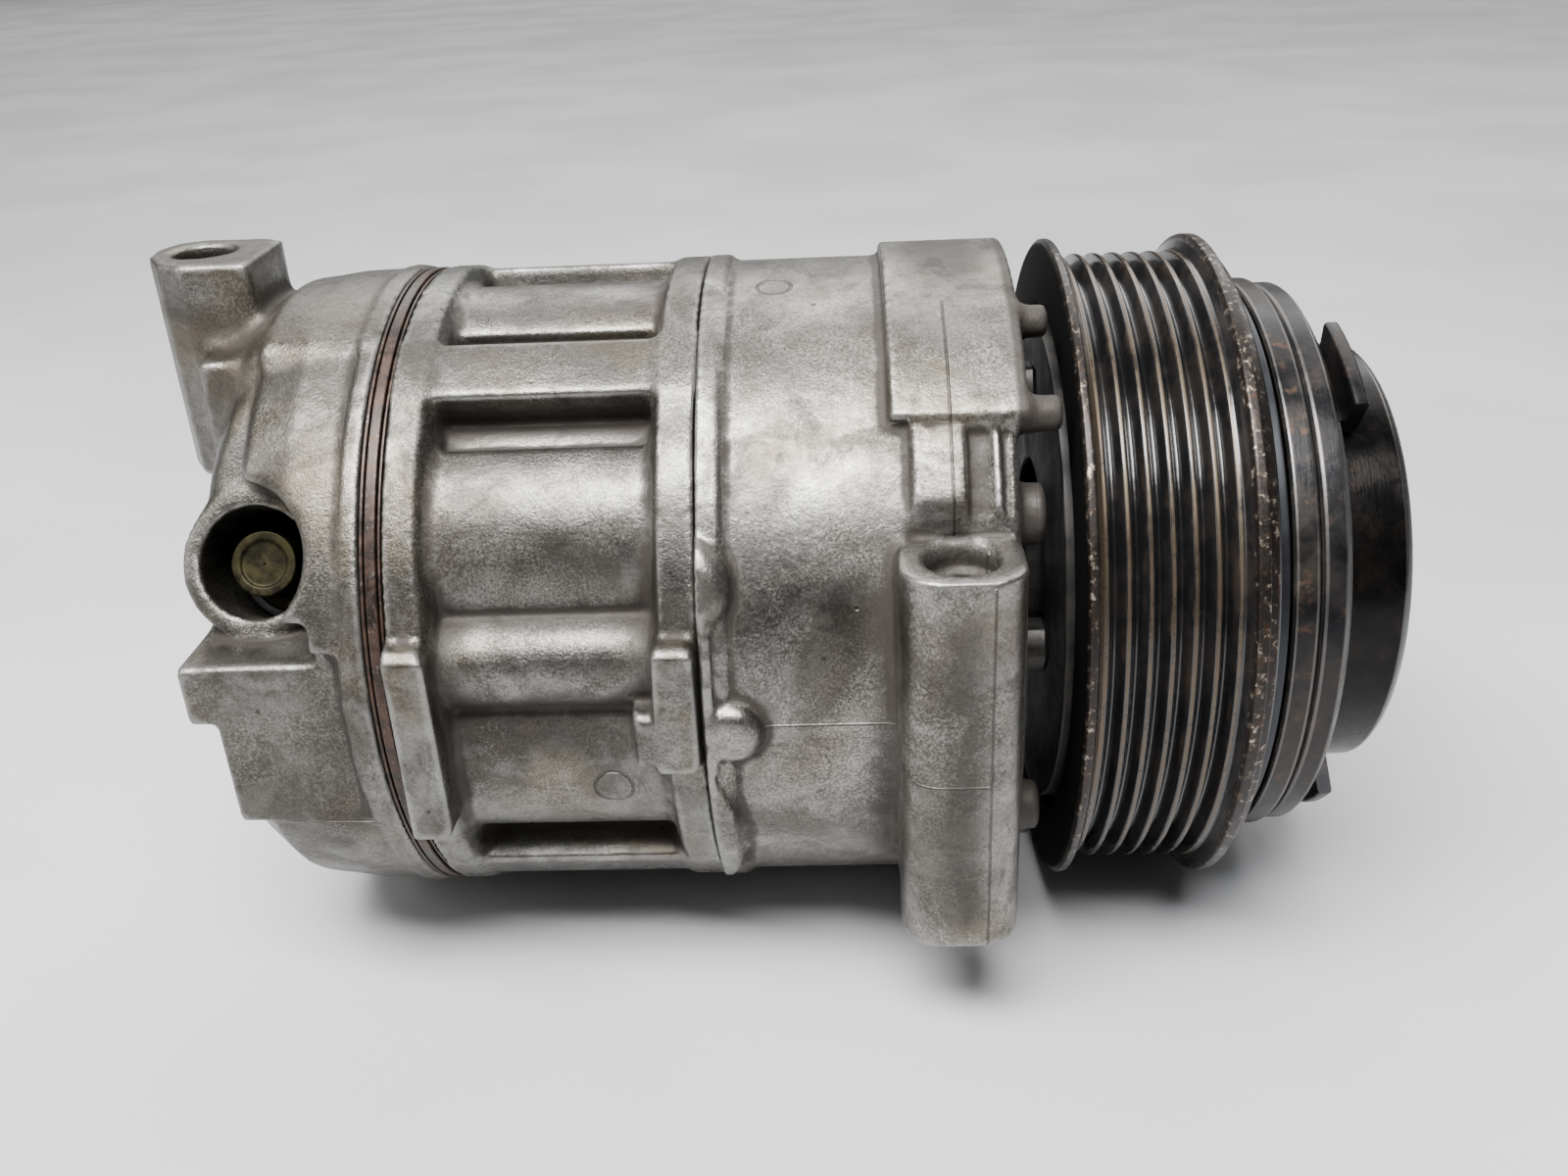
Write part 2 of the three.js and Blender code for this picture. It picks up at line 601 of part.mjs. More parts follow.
addPart('rear_head', rearHead(), CAST);
addPart('control_valve', controlValve(), BRASS);
addPart('valve_snap_ring', valveSnapRing(), STEEL);
addPart('head_gasket', headGasket(), GASKET);
addPart('reed_retainer', reedRetainer(), STEEL);
addPart('discharge_reed', dischargeReed(), STEEL);
addPart('valve_plate', valvePlate(), GASKET);
addPart('suction_reed', suctionReed(), STEEL);
addPart('cylinder_block', cylinderBlock(), CAST);
addPart('front_housing', frontHousing(), CAST_FRONT);
addPart('front_bearing', frontBearing(), STEEL);
addPart('rear_bearing', rearBearing(), STEEL);
addPart('thrust_bearing', thrustBearing(), STEEL);
addPart('shaft_seal', shaftSeal(), RUBBER);
addPart('seal_snap_ring', sealSnapRing(), STEEL);
addPart('field_coil', fieldCoil(), DARK_STEEL);
addPart('coil_snap_ring', coilSnapRing(), STEEL);
addPart('bearing_snap_ring', bearingSnapRing(), STEEL);
addPart('pulley_bearing', pulleyBearing(), STEEL);
addPart('pulley', pulley(), BLACK_PAINT);
addPart('drive_shaft', driveShaft(), STEEL);
addPart('lug_plate', lugPlate(), STEEL);
addPart('swash_plate', swashPlate(), BRONZE);
addPart('guide_pin', guidePin(), STEEL);
addPart('return_spring', returnSpring(), BOLT_STEEL);
addPart('armature_plate', armaturePlate(), DARK_STEEL);
addPart('hub_ring', hubRing(), DARK_STEEL);
addPart('hub_damper', hubDamper(), RUBBER);
addPart('hub_boss', hubBoss(), DARK_STEEL);
addPart('spring_plate', springPlate(), DARK_STEEL);
addPart('hub_cup', hubCup(), CUP_BLACK);
addPart('shaft_nut', shaftNut(), BOLT_STEEL);

around(CYLINDERS, AZ_BOLT, (az, i) => addPart(`through_bolt_${i + 1}`, throughBolt(az), BOLT_STEEL));
around(CYLINDERS, AZ_CYLINDER, (az, i) => {
  addPart(`piston_${i + 1}`, piston(az), CAST);
  addPart(`shoe_${i + 1}_front`, shoe(az, 1), BRONZE);
  addPart(`shoe_${i + 1}_rear`, shoe(az, -1), BRONZE);
});

export default group;
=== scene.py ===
"""The swash-plate compressor as seen: fine castings, turned clutch parts, materials, stage and camera."""
import math

import bmesh
import bpy
import numpy as np
from mathutils import Matrix, Vector


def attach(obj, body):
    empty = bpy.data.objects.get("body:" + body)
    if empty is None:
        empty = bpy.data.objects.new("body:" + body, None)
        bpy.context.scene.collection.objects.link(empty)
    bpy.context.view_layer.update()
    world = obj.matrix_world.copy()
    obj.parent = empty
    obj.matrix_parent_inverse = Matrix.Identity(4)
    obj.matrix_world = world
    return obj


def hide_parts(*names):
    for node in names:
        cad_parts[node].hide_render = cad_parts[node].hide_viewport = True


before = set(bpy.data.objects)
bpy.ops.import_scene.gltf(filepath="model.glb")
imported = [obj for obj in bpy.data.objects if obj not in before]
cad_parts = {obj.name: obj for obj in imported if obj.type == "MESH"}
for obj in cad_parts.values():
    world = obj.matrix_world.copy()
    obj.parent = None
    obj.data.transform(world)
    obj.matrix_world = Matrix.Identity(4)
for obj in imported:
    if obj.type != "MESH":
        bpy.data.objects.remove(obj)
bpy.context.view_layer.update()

# ---------------- frame and sizes
# Shapes below are written in millimetres about the shaft axis: X along the shaft to the pulley,
# -Y to the side of the near pillar and +Z along the mounting bolts. Azimuth is in degrees, from -Y up to +Z.
ORIGIN = np.array([47.6, -58.8, -42.0])
VOXEL = 0.8

CYLINDERS = 7
AZ_STEP = 360 / CYLINDERS
AZ_CYLINDER = 34.3
AZ_BOLT = 8.6
R_PITCH = 38.5
R_BOLTS = 51.0
X_HEAD = -49.5
X_BLOCK = (-45.6, 5.1)
X_CASE = (5.4, 57.6)
PILLAR = (47.6, -58.8, -42.0, 28.0)
EAR = (-88.2, 1.2, 26.0, 67.0)
VALVE_X, VALVE_AZ, VALVE_MOUTH, VALVE_TIP = -72.5, 28.6, 46.5, 43
PORT_FACE, PORT_TOP = -56.5, 10
# Short round lugs on the casing's front: azimuth, offset, radius and reach in X.
FINGERS = [(68, 59, 2.8, 64.6), (48.6, 58.8, 3, 65.2), (33.4, 50.5, 5.2, 62.4), (-28, 55, 4.4, 62.4)]
GROOVES, GROOVE_PITCH, FIRST_CREST = 6, 3.56, 70.94
R_CREST, R_ROOT, R_FLANGE = 59.2, 56.2, 62.1
R_RIM, R_CYLINDER, R_BARREL = 61, 15.1, 20.3
R_VALVE_BORE, R_VALVE_BOSS = 9.8, 13.2
# The pillars' and the ear's mounting holes, then the through bolts.
R_HOLE, R_COUNTERBORE = 4.5, 5.8
R_SHANK, BOLT_END = 2.8, -62.0


def to_frame(points):
    return (np.asarray(points, float) - ORIGIN) / 1000


def polar(azimuth, radius):
    a = math.radians(azimuth)
    return -radius * math.cos(a), radius * math.sin(a)


# ---------------- distance fields for the castings
class Grid:
    """Sample points over a box, each axis shaped to broadcast, with the radius from the shaft."""

    def __init__(self, low, high):
        self.low = np.array(low, float)
        count = [int(math.ceil((b - a) / VOXEL)) + 1 for a, b in zip(low, high)]
        axes = [a + VOXEL * np.arange(n, dtype=np.float32) for a, n in zip(low, count)]
        self.x = axes[0][:, None, None].astype(np.float32)
        self.y = axes[1][None, :, None].astype(np.float32)
        self.z = axes[2][None, None, :].astype(np.float32)
        self.rho = np.sqrt(self.y ** 2 + self.z ** 2)


def rounded(q, r):
    """Joins the per-axis distances of a box-like shape, with edge radius r."""
    outside = np.sqrt(sum(np.maximum(v, 0) ** 2 for v in q))
    inside = q[0]
    for v in q[1:]:
        inside = np.maximum(inside, v)
    return outside + np.minimum(inside, 0) - r


def box(g, x, y, z, r=1.0):
    spans = zip((g.x, g.y, g.z), (x, y, z))
    return rounded([np.abs(a - (lo + hi) / 2) - ((hi - lo) / 2 - r) for a, (lo, hi) in spans], r)


def rod(g, start, end, radius, r=0.5):
    start, end = np.array(start, float), np.array(end, float)
    length = np.linalg.norm(end - start)
    u = (end - start) / length
    p = (g.x - start[0], g.y - start[1], g.z - start[2])
    along = p[0] * u[0] + p[1] * u[1] + p[2] * u[2]
    off = np.sqrt(np.maximum(p[0] ** 2 + p[1] ** 2 + p[2] ** 2 - along ** 2, 0))
    return rounded([np.abs(along - length / 2) - (length / 2 - r), off - (radius - r)], r)


def rod_x(g, x0, x1, azimuth, offset, radius, r=0.5):
    y, z = polar(azimuth, offset)
    return rod(g, (x0, y, z), (x1, y, z), radius, r)


def radial(g, x, azimuth, d0, d1, radius, r=0.5):
    return rod(g, (x, *polar(azimuth, d0)), (x, *polar(azimuth, d1)), radius, r)


def polygon(px, py, corners):
    """Signed distance to a closed outline."""
    px, py = np.broadcast_arrays(px, py)
    best = np.full(px.shape, 1e9, np.float32)
    inside = np.zeros(px.shape, bool)
    for (ax, ay), (bx, by) in zip(corners, corners[1:] + corners[:1]):
        ex, ey = bx - ax, by - ay
        t = np.clip(((px - ax) * ex + (py - ay) * ey) / (ex * ex + ey * ey), 0, 1)
        best = np.minimum(best, (px - ax - t * ex) ** 2 + (py - ay - t * ey) ** 2)
        if ay != by:
            crosses = (ay > py) != (by > py)
            inside ^= crosses & (px < (bx - ax) * (py - ay) / (by - ay) + ax)
    return np.where(inside, -1, 1) * np.sqrt(best)


def turned(g, profile):
    """A body of revolution about the shaft, from a closed outline of [x, radius] points."""
    fine = 0.4
    reach = np.arange(0, float(g.rho.max()) + 2 * fine, fine)
    table = polygon(g.x[:, :, 0], reach[None, :], profile).astype(np.float32)
    at = g.rho[0] / fine
    low = at.astype(int)
    part = at - low
    return table[:, low] * (1 - part) + table[:, low + 1] * part


def prism(g, axis, outline, span, r=1.0):
    """An outline in the two other axes, in X, Y, Z order, pulled along one axis."""
    along = (g.x, g.y, g.z)[axis]
    u, v = [a for i, a in enumerate((g.x, g.y, g.z)) if i != axis]
    across = polygon(u, v, outline).astype(np.float32) + r
    return rounded([across, np.abs(along - sum(span) / 2) - ((span[1] - span[0]) / 2 - r)], r)


def wedge(g, az0, az1):
    """The sector between two azimuths less than 180 degrees apart."""
    a, b = math.radians(az0), math.radians(az1)
    after = -(g.y * math.sin(a) + g.z * math.cos(a))
    before = g.y * math.sin(b) + g.z * math.cos(b)
    return np.maximum(after, before)


def join(a, b, k=2.0):
    h = np.maximum(k - np.abs(a - b), 0) / k
    return np.minimum(a, b) - h * h * k / 4


def cut(a, b, k=0.8):
    return -join(-a, b, k)


def keep(a, b, k=0.8):
    return -join(-a, -b, k)


def around(first, make):
    return [make(first + i * AZ_STEP) for i in range(CYLINDERS)]


# ---------------- meshing
def box_blur(values, reach):
    """Mean over a cube of about reach millimetres each way."""
    n = max(1, int(round(reach / VOXEL)))
    for axis in range(3):
        padded = np.concatenate([np.repeat(values.take([0], axis), n + 1, axis), values,
                                 np.repeat(values.take([-1], axis), n, axis)], axis)
        total = np.cumsum(padded, axis, dtype=np.float32)
        size = values.shape[axis]
        high = total.take(range(2 * n + 1, 2 * n + 1 + size), axis)
        values = (high - total.take(range(size), axis)) / (2 * n + 1)
    return values


def sample(values, points):
    """Values between the grid's points, for points in grid steps."""
    base = np.clip(np.floor(points).astype(int), 0, np.array(values.shape) - 2)
    f = points - base
    out = 0
    for i in (0, 1):
        for j in (0, 1):
            for k in (0, 1):
                w = np.abs(1 - i - f[:, 0]) * np.abs(1 - j - f[:, 1]) * np.abs(1 - k - f[:, 2])
                out = out + w * values[base[:, 0] + i, base[:, 1] + j, base[:, 2] + k]
    return out


def net(values):
    """Surface nets: one point in each cell that the surface crosses, and a quad across each crossed edge."""
    solid = values < 0
    nx, ny, nz = np.array(values.shape) - 1
    corners = [(i, j, k) for i in (0, 1) for j in (0, 1) for k in (0, 1)]
    count = sum(solid[i:nx + i, j:ny + j, k:nz + k].astype(np.int8) for i, j, k in corners)
    cells = np.argwhere((count > 0) & (count < 8))
    index = np.full((nx, ny, nz), -1, np.int32)
    index[tuple(cells.T)] = np.arange(len(cells))
    at = {c: values[cells[:, 0] + c[0], cells[:, 1] + c[1], cells[:, 2] + c[2]] for c in corners}
    total = np.zeros((len(cells), 3))
    hits = np.zeros(len(cells))
    for a in corners:
        for axis in range(3):
            if a[axis]:
                continue
            b = tuple(1 if i == axis else v for i, v in enumerate(a))
            crossed = (at[a] < 0) != (at[b] < 0)
            t = np.where(crossed, at[a] / np.where(crossed, at[a] - at[b], 1), 0)
            for i in range(3):
                total[:, i] += np.where(crossed, t if i == axis else a[i], 0)
            hits += crossed
    points = cells + total / hits[:, None]
    faces = []
    for axis in range(3):
        u, v = (axis + 1) % 3, (axis + 2) % 3
        head = [slice(1, None)] * 3
        head[axis] = slice(None)
        low, high = [slice(1, -1)] * 3, [slice(1, -1)] * 3
        low[axis], high[axis] = slice(0, -1), slice(1, None)
        a, b = solid[tuple(low)], solid[tuple(high)]
        where = np.argwhere(a != b)
        where[:, u] += 1
        where[:, v] += 1
        outward = a[a != b]
        ring = []
        for du, dv in ((0, 0), (1, 0), (1, 1), (0, 1)):
            cell = where.copy()
            cell[:, u] -= 1 - du
            cell[:, v] -= 1 - dv
            ring.append(index[tuple(cell.T)])
        quad = np.stack(ring, 1)
        quad[~outward] = quad[~outward][:, ::-1]
        faces.append(quad)
    return points, np.concatenate(faces)


def mesh_object(name, points, faces, attributes=None):
    """points in millimetres about the shaft; faces a list of rings or an N by 4 array."""
    mesh = bpy.data.meshes.new(name)
    points = to_frame(points).astype(np.float32)
    faces = np.asarray(faces, np.int32)
    mesh.vertices.add(len(points))
    mesh.vertices.foreach_set("co", points.ravel())
    mesh.loops.add(faces.size)
    mesh.loops.foreach_set("vertex_index", faces.ravel())
    mesh.polygons.add(len(faces))
    mesh.polygons.foreach_set("loop_start", np.arange(0, faces.size, faces.shape[1], dtype=np.int32))
    mesh.update(calc_edges=True)
    mesh.validate()
    mesh.shade_smooth()
    for key, values in (attributes or {}).items():
        layer = mesh.attributes.new(key, "FLOAT", "POINT")
        layer.data.foreach_set("value", np.asarray(values, np.float32))
    obj = bpy.data.objects.new(name, mesh)
    bpy.context.scene.collection.objects.link(obj)
    return obj


def casting(name, g, values):
    """Meshes a field, and stores how sharp (edge) and how sheltered (hollow) the surface is at each point."""
    values = np.ascontiguousarray(np.broadcast_to(values, np.broadcast_shapes(
        g.x.shape, g.y.shape, g.z.shape)), np.float32)
    points, faces = net(values)
    near = np.clip(values, -6, 6)
    edge = sample(box_blur(near, 2.0), points)
    hollow = sample(box_blur(np.clip(values, -14, 14), 7.0), points)
    return mesh_object(name, g.low + points * VOXEL, faces, {"edge": edge, "hollow": -hollow})


# ---------------- the three castings
def rear_head():
    g = Grid((-101, -63.5, -63), (-48, 65.5, 69))
    dome = turned(g, [(X_HEAD, 0), (X_HEAD, 61.1), (-52.3, 61.1), (-53.3, 60.1), (-62, 59.9),
                      (-70, 57.6), (-77, 52), (-82, 45), (-84.5, 36), (-84.5, 0)])
    crown = turned(g, [(-52, 0), (-52, 60), (-71, 59.6), (-76, 55), (-76, 0)])
    crown = keep(crown, wedge(g, 66, 114), 3)
    keel = turned(g, [(-52, 0), (-52, 60), (-73, 59.2), (-79, 54), (-81, 40), (-81, 0)])
    keel = keep(keel, wedge(g, -70, 6), 4)
    body = join(join(dome, crown, 4), keel, 4)
    body = cut(body, box(g, (-110, -54.6), (-80, PORT_FACE), (-20.5, 13), 0.6), 0.7)
    tilt = math.radians(VALVE_AZ)
    along = g.z * math.sin(tilt) - g.y * math.cos(tilt)
    across = g.z * math.cos(tilt) + g.y * math.sin(tilt)
    beside = join(g.x - VALVE_X, np.hypot(g.x - VALVE_X, across) - 13, 3)
    body = cut(body, np.maximum(np.maximum(VALVE_MOUTH - along, beside), PORT_TOP - g.z), 2.5)
    body = cut(body, box(g, (-110, -59.2), (-80, -33), (PORT_TOP, 18), 1.5), 1.2)
    body = join(body, radial(g, VALVE_X, VALVE_AZ, 8, VALVE_MOUTH, R_VALVE_BOSS, 1.2), 2.4)
    x, y, z0, z1 = EAR
    root = prism(g, 2, [(-86, -13), (-70, -20), (-64, 24), (-86, 18)], (8, 52), 4)
    body = join(body, root, 7)
    body = join(body, box(g, (-84.4, -76.6), (-21, -8), (30, 52), 1.6), 3)
    ear = prism(g, 2, [(-98.3, 4), (-96.5, 9), (-92, 11.4), (-79.5, 11), (-76, 8.6), (-75.6, -10.6),
                       (-77, -11.4), (-88, -11.4), (-93.5, -8), (-97.4, -2)], (z0, z1), 0.9)
    body = join(body, ear, 3.5)
    body = join(body, box(g, (-78.6, -54.6), (PORT_FACE, 0), (-21, PORT_TOP), 1), 1)
    body = join(body, box(g, (-83.4, -60), (PORT_FACE, -12), (-1.2, PORT_TOP), 1.2), 1)
    body = join(body, box(g, (-84, -54), (20, 63.4), (-18, 22), 2), 4)
    body = cut(body, radial(g, VALVE_X, VALVE_AZ, 6, 80, R_VALVE_BORE), 0.6)
    body = cut(body, rod(g, (x, y, z1 - 12), (x, y, z1 + 3), R_COUNTERBORE), 0.8)
    body = cut(body, rod(g, (x, y, 20), (x, y, z1 + 3), R_HOLE), 0.5)
    body = cut(body, rod(g, (-76, 37.4, 2), (-76, 70, 2), 7.2), 1)
    body = cut(body, rod(g, (-61, 29.4, 2), (-61, 70, 2), 5.6), 1)
    body = cut(body, rod(g, (-69, 45.4, -12), (-69, 70, -12), 3.3), 0.6)
    body = cut(body, turned(g, [(-63, 19), (-63, 45), (-48, 45), (-48, 19)]), 1)
    return casting("rear_head_casting", g, body)


def cylinder_block():
    g = Grid((-47, -66, -63), (6.5, 63, 63))
    x0, x1 = X_BLOCK
    body = turned(g, [(x0, 0), (x0, 50), (x1, 50), (x1, 0)])
    for barrel in around(AZ_CYLINDER, lambda az: rod_x(g, x0, x1, az, R_PITCH, R_BARREL, 0)):
        body = join(body, barrel, 2)
    body = join(body, rod_x(g, x0, x1, AZ_BOLT, R_BOLTS, 8.2, 0), 1.4)
    for az in [AZ_BOLT + i * AZ_STEP for i in range(1, CYLINDERS)]:
        for start in (6, -13.2):
            groove = turned(g, [(-38.6, 53.6), (-38.6, 66), (-2.4, 66), (-2.4, 53.6)])
            body = cut(body, keep(groove, wedge(g, az + start, az + start + 7.2), 0.8), 0.9)
        band = keep(turned(g, [(x0, 20), (x0, 60.5), (x1, 60.5), (x1, 20)]), wedge(g, az - 6, az + 6), 1.2)
        body = join(body, band, 1.2)
    rear_rim = turned(g, [(x0, 0), (x0, R_RIM), (-40.2, R_RIM), (-38.8, 58), (-37.8, 45), (-37.8, 0)])
    front_rim = turned(g, [(x1, 0), (x1, R_RIM), (-0.8, R_RIM), (-2.2, 58), (-3, 45), (-3, 0)])
    body = join(join(body, rear_rim, 1.8), front_rim, 1.8)
    reach = (-63.9, -40)
    rear_lug = prism(g, 1, [(x0, -20.5), (-39.3, -20.5), (-38.5, -18), (-38.7, 13.6), (-40, 15.5),
                            (x0, 15.5)], reach, 0.7)
    front_lug = prism(g, 1, [(-2.6, -8), (4, -8), (4.7, -6), (4.7, 14), (3.6, 15.2), (-1.4, 15.2),
                             (-2.2, 14)], reach, 0.7)
    foot = prism(g, 1, [(-6.3, -7.8), (0, -7.8), (0, 2.6), (-6.3, 2.6)], (-63.0, -40), 2)
    front_lug = join(front_lug, foot, 0.8)
    slope = -g.y * math.cos(0.95) + g.z * math.sin(0.95) - 48.6
    lugs = np.maximum(np.minimum(rear_lug, front_lug), slope)
    body = join(body, lugs, 1.3)
    for bore in around(AZ_CYLINDER, lambda az: rod_x(g, x0 - 3, x1 + 3, az, R_PITCH, R_CYLINDER, 0)):
        body = cut(body, bore, 0.5)
    body = cut(body, turned(g, [(-50, 0), (-50, 9.6), (8, 9.6), (8, 0)]), 0.5)
    return casting("cylinder_block_casting", g, body)


def pillar(g, side):
    x, y, z0, z1 = PILLAR
    width, depth, corner, rim = 20, 18.4, 6.8, 0.6
    plan = rounded([np.abs(g.x - x) - (width / 2 - corner),
                    np.abs(g.y + side * y) - (depth / 2 - corner)], corner)
    return rounded([plan + rim, np.abs(g.z - (z0 + z1) / 2) - ((z1 - z0) / 2 - rim)], rim)


def front_housing():
    g = Grid((4, -69.5, -63.5), (67, 69.5, 64.5))
    x0, x1 = X_CASE
    body = turned(g, [(x0, 0), (x0, 61.3), (9.2, 61.3), (9.9, 60.2), (40, 60.2), (40.6, 61.8),
                      (x1 - 1.2, 61.8), (x1, 60), (x1, 0)])
    shoulder = keep(turned(g, [(37, 56), (37, 62.6), (59.6, 62.6), (59.6, 56)]), wedge(g, 46.7, 104), 0.6)
    body = join(body, shoulder, 1)
    recess = keep(turned(g, [(49.4, 59.8), (49.4, 70), (70, 70), (70, 59.8)]), wedge(g, 26, 45.6), 0.5)
    body = cut(body, recess, 0.8)
    rib = keep(turned(g, [(53.4, 50), (53.4, 61.2), (54.8, 61.2), (54.8, 50)]), wedge(g, 24, 48.5), 0.5)
    body = join(body, rib, 0.8)
    for side in (-1, 1):
        socket_room = box(g, (39.4, 59), sorted((side * 70, side * 51.9)), (27.4, 37), 1.5)
        body = cut(body, socket_room, 1.2)
        web = box(g, (37.6, 57.4), sorted((side * 62, side * 25)), (-34, 26), 2.5)
        body = join(join(body, web, 2.4), pillar(g, side), 1.4)
    seam_boss = radial(g, 2.8, 22, 50, 64.2, 8.6, 4.6)
    nub = radial(g, 9.8, -1.6, 50, 63.6, 5.5, 3.2)
    body = join(body, np.maximum(np.minimum(seam_boss, nub), x0 - g.x), 0.7)
    upper = keep(turned(g, [(x0, 50), (x0, 62.8), (7.3, 62.8), (7.3, 50)]), wedge(g, -9.2, 22), 0.8)
    lower = turned(g, [(x0, 50), (x0, 62.9), (8.6, 62.9), (12.4, 59), (12.4, 50)])
    lower = keep(lower, wedge(g, -42, -9.4), 0.6)
    point = (g.x - 12.4) * 0.94 + np.abs(g.z * math.cos(0.47) - g.y * math.sin(0.47)) * 0.3
    body = join(join(body, upper, 0.6), keep(lower, point, 0.8), 0.9)
    for az, offset, radius, reach in FINGERS:
        body = join(body, rod_x(g, x1 - 8, reach, az, offset, radius, 1.2), 2)
    x, y, z0, z1 = PILLAR
    for side in (-1, 1):
        at = side * -y
        body = cut(body, rod(g, (x, at, z0 - 3), (x, at, z1 + 3), R_HOLE), 0.4)
        body = cut(body, rod(g, (x, at, z1 - 4.5), (x, at, z1 + 3), R_COUNTERBORE, 0.2), 0.3)
        rim = np.hypot(g.x - x, g.y - at) - (6.7 + (g.z - z1))
        body = cut(body, np.maximum(rim * 0.7, np.abs(g.z - z1 + 0.3) - 0.9), 0.2)
    body = cut(body, turned(g, [(0, 0), (0, 54.5), (52, 54.5), (52, 0)]), 1)
    body = cut(body, turned(g, [(45, 0), (45, 20.4), (70, 20.4), (70, 0)]), 0.5)
    for hole in around(AZ_BOLT, lambda az: rod_x(g, 40, x1 + 3, az, R_BOLTS, 3.2, 0)):
        body = cut(body, hole, 0.4)
    return casting("front_housing_casting", g, body)


# ---------------- turned and plain parts
def eased(outline, radii, steps=4):
    """Rounds the corners of a closed outline."""
    out = []
    n = len(outline)
    for i, here in enumerate(outline):
        r = radii if np.isscalar(radii) else radii[i]
        p = np.array(here, float)
        before, after = np.array(outline[i - 1], float) - p, np.array(outline[(i + 1) % n], float) - p
        la, lb = np.linalg.norm(before), np.linalg.norm(after)
        reach = min(r, 0.45 * la, 0.45 * lb)
        if reach < 1e-3 or here[1] == 0:
            out.append(tuple(p))
            continue
        a, b = p + before / la * reach, p + after / lb * reach
        for t in np.linspace(0, 1, steps + 1):
            out.append(tuple((1 - t) ** 2 * a + 2 * t * (1 - t) * p + t * t * b))
    return out


def lathe(name, outline, radii=0.3, turns=256, steps=4):
    """Turns a closed outline of [x, radius] points about the shaft, and marks its convex corners as edge."""
    ring = eased(outline, radii, steps)
    area = sum(a[0] * b[1] - b[0] * a[1] for a, b in zip(ring, ring[1:] + ring[:1]))
    if area > 0:
        ring = ring[::-1]
    ring, edge = corners_marked(ring)
    x, r = ring[:, 0], ring[:, 1]
    angle = np.linspace(0, 2 * math.pi, turns, endpoint=False)
    points = np.stack([np.broadcast_to(x, (turns, len(x))), np.outer(np.cos(angle), r),
                       np.outer(np.sin(angle), r)], -1).reshape(-1, 3)
    n = len(ring)
    i, j = np.meshgrid(np.arange(turns), np.arange(n), indexing="ij")
    i2, j2 = (i + 1) % turns, (j + 1) % n
    quads = np.stack([i * n + j, i * n + j2, i2 * n + j2, i2 * n + j], -1).reshape(-1, 4)
    return mesh_object(name, points, quads, {"edge": np.tile(edge, turns)})


def corners_marked(ring, margin=0.35):
    """Adds points beside the corners of a clockwise outline; returns them all and how convex each is."""
    ring = np.array(ring, float)
    forward = np.roll(ring, -1, 0) - ring
    back = np.roll(forward, 1, 0)
    turn = np.arctan2(back[:, 0] * forward[:, 1] - back[:, 1] * forward[:, 0], (back * forward).sum(1))
    convex = np.clip(-turn / math.radians(12), 0, 1)
    points, edge = [], []
    for here, step, value in zip(ring, forward, convex):
        points.append(here)
        edge.append(value)
        length = np.linalg.norm(step)
        if length > 3 * margin:
            points += [here + step / length * margin, here + step * (1 - margin / length)]
            edge += [0, 0]
    return np.array(points), np.array(edge)


def pulley_outline():
    points = [(67.3, 50), (67.3, 60.8), (68, R_FLANGE), (69.2, R_FLANGE)]
    for i in range(GROOVES):
        crest = FIRST_CREST + i * GROOVE_PITCH
        points += [(crest - 0.42, R_CREST - 0.1), (crest + 0.42, R_CREST - 0.1),
                   (crest + 1.5, R_ROOT), (crest + 2.06, R_ROOT)]
    last = FIRST_CREST + GROOVES * GROOVE_PITCH
    points += [(last - 0.42, R_CREST - 0.1), (last + 0.5, R_CREST), (94.3, R_FLANGE), (96, R_FLANGE),
               (96.4, 59.8), (98.2, 59.2), (98.4, 57.4), (99.3, 56.6), (99.4, 53.4), (101.6, 53.4),
               (101.6, 33), (95.6, 28.6), (93.9, 28.6), (93.9, 31.3), (73, 31.3), (71, 35.4), (95, 35.4),
               (95, 50)]
    return points


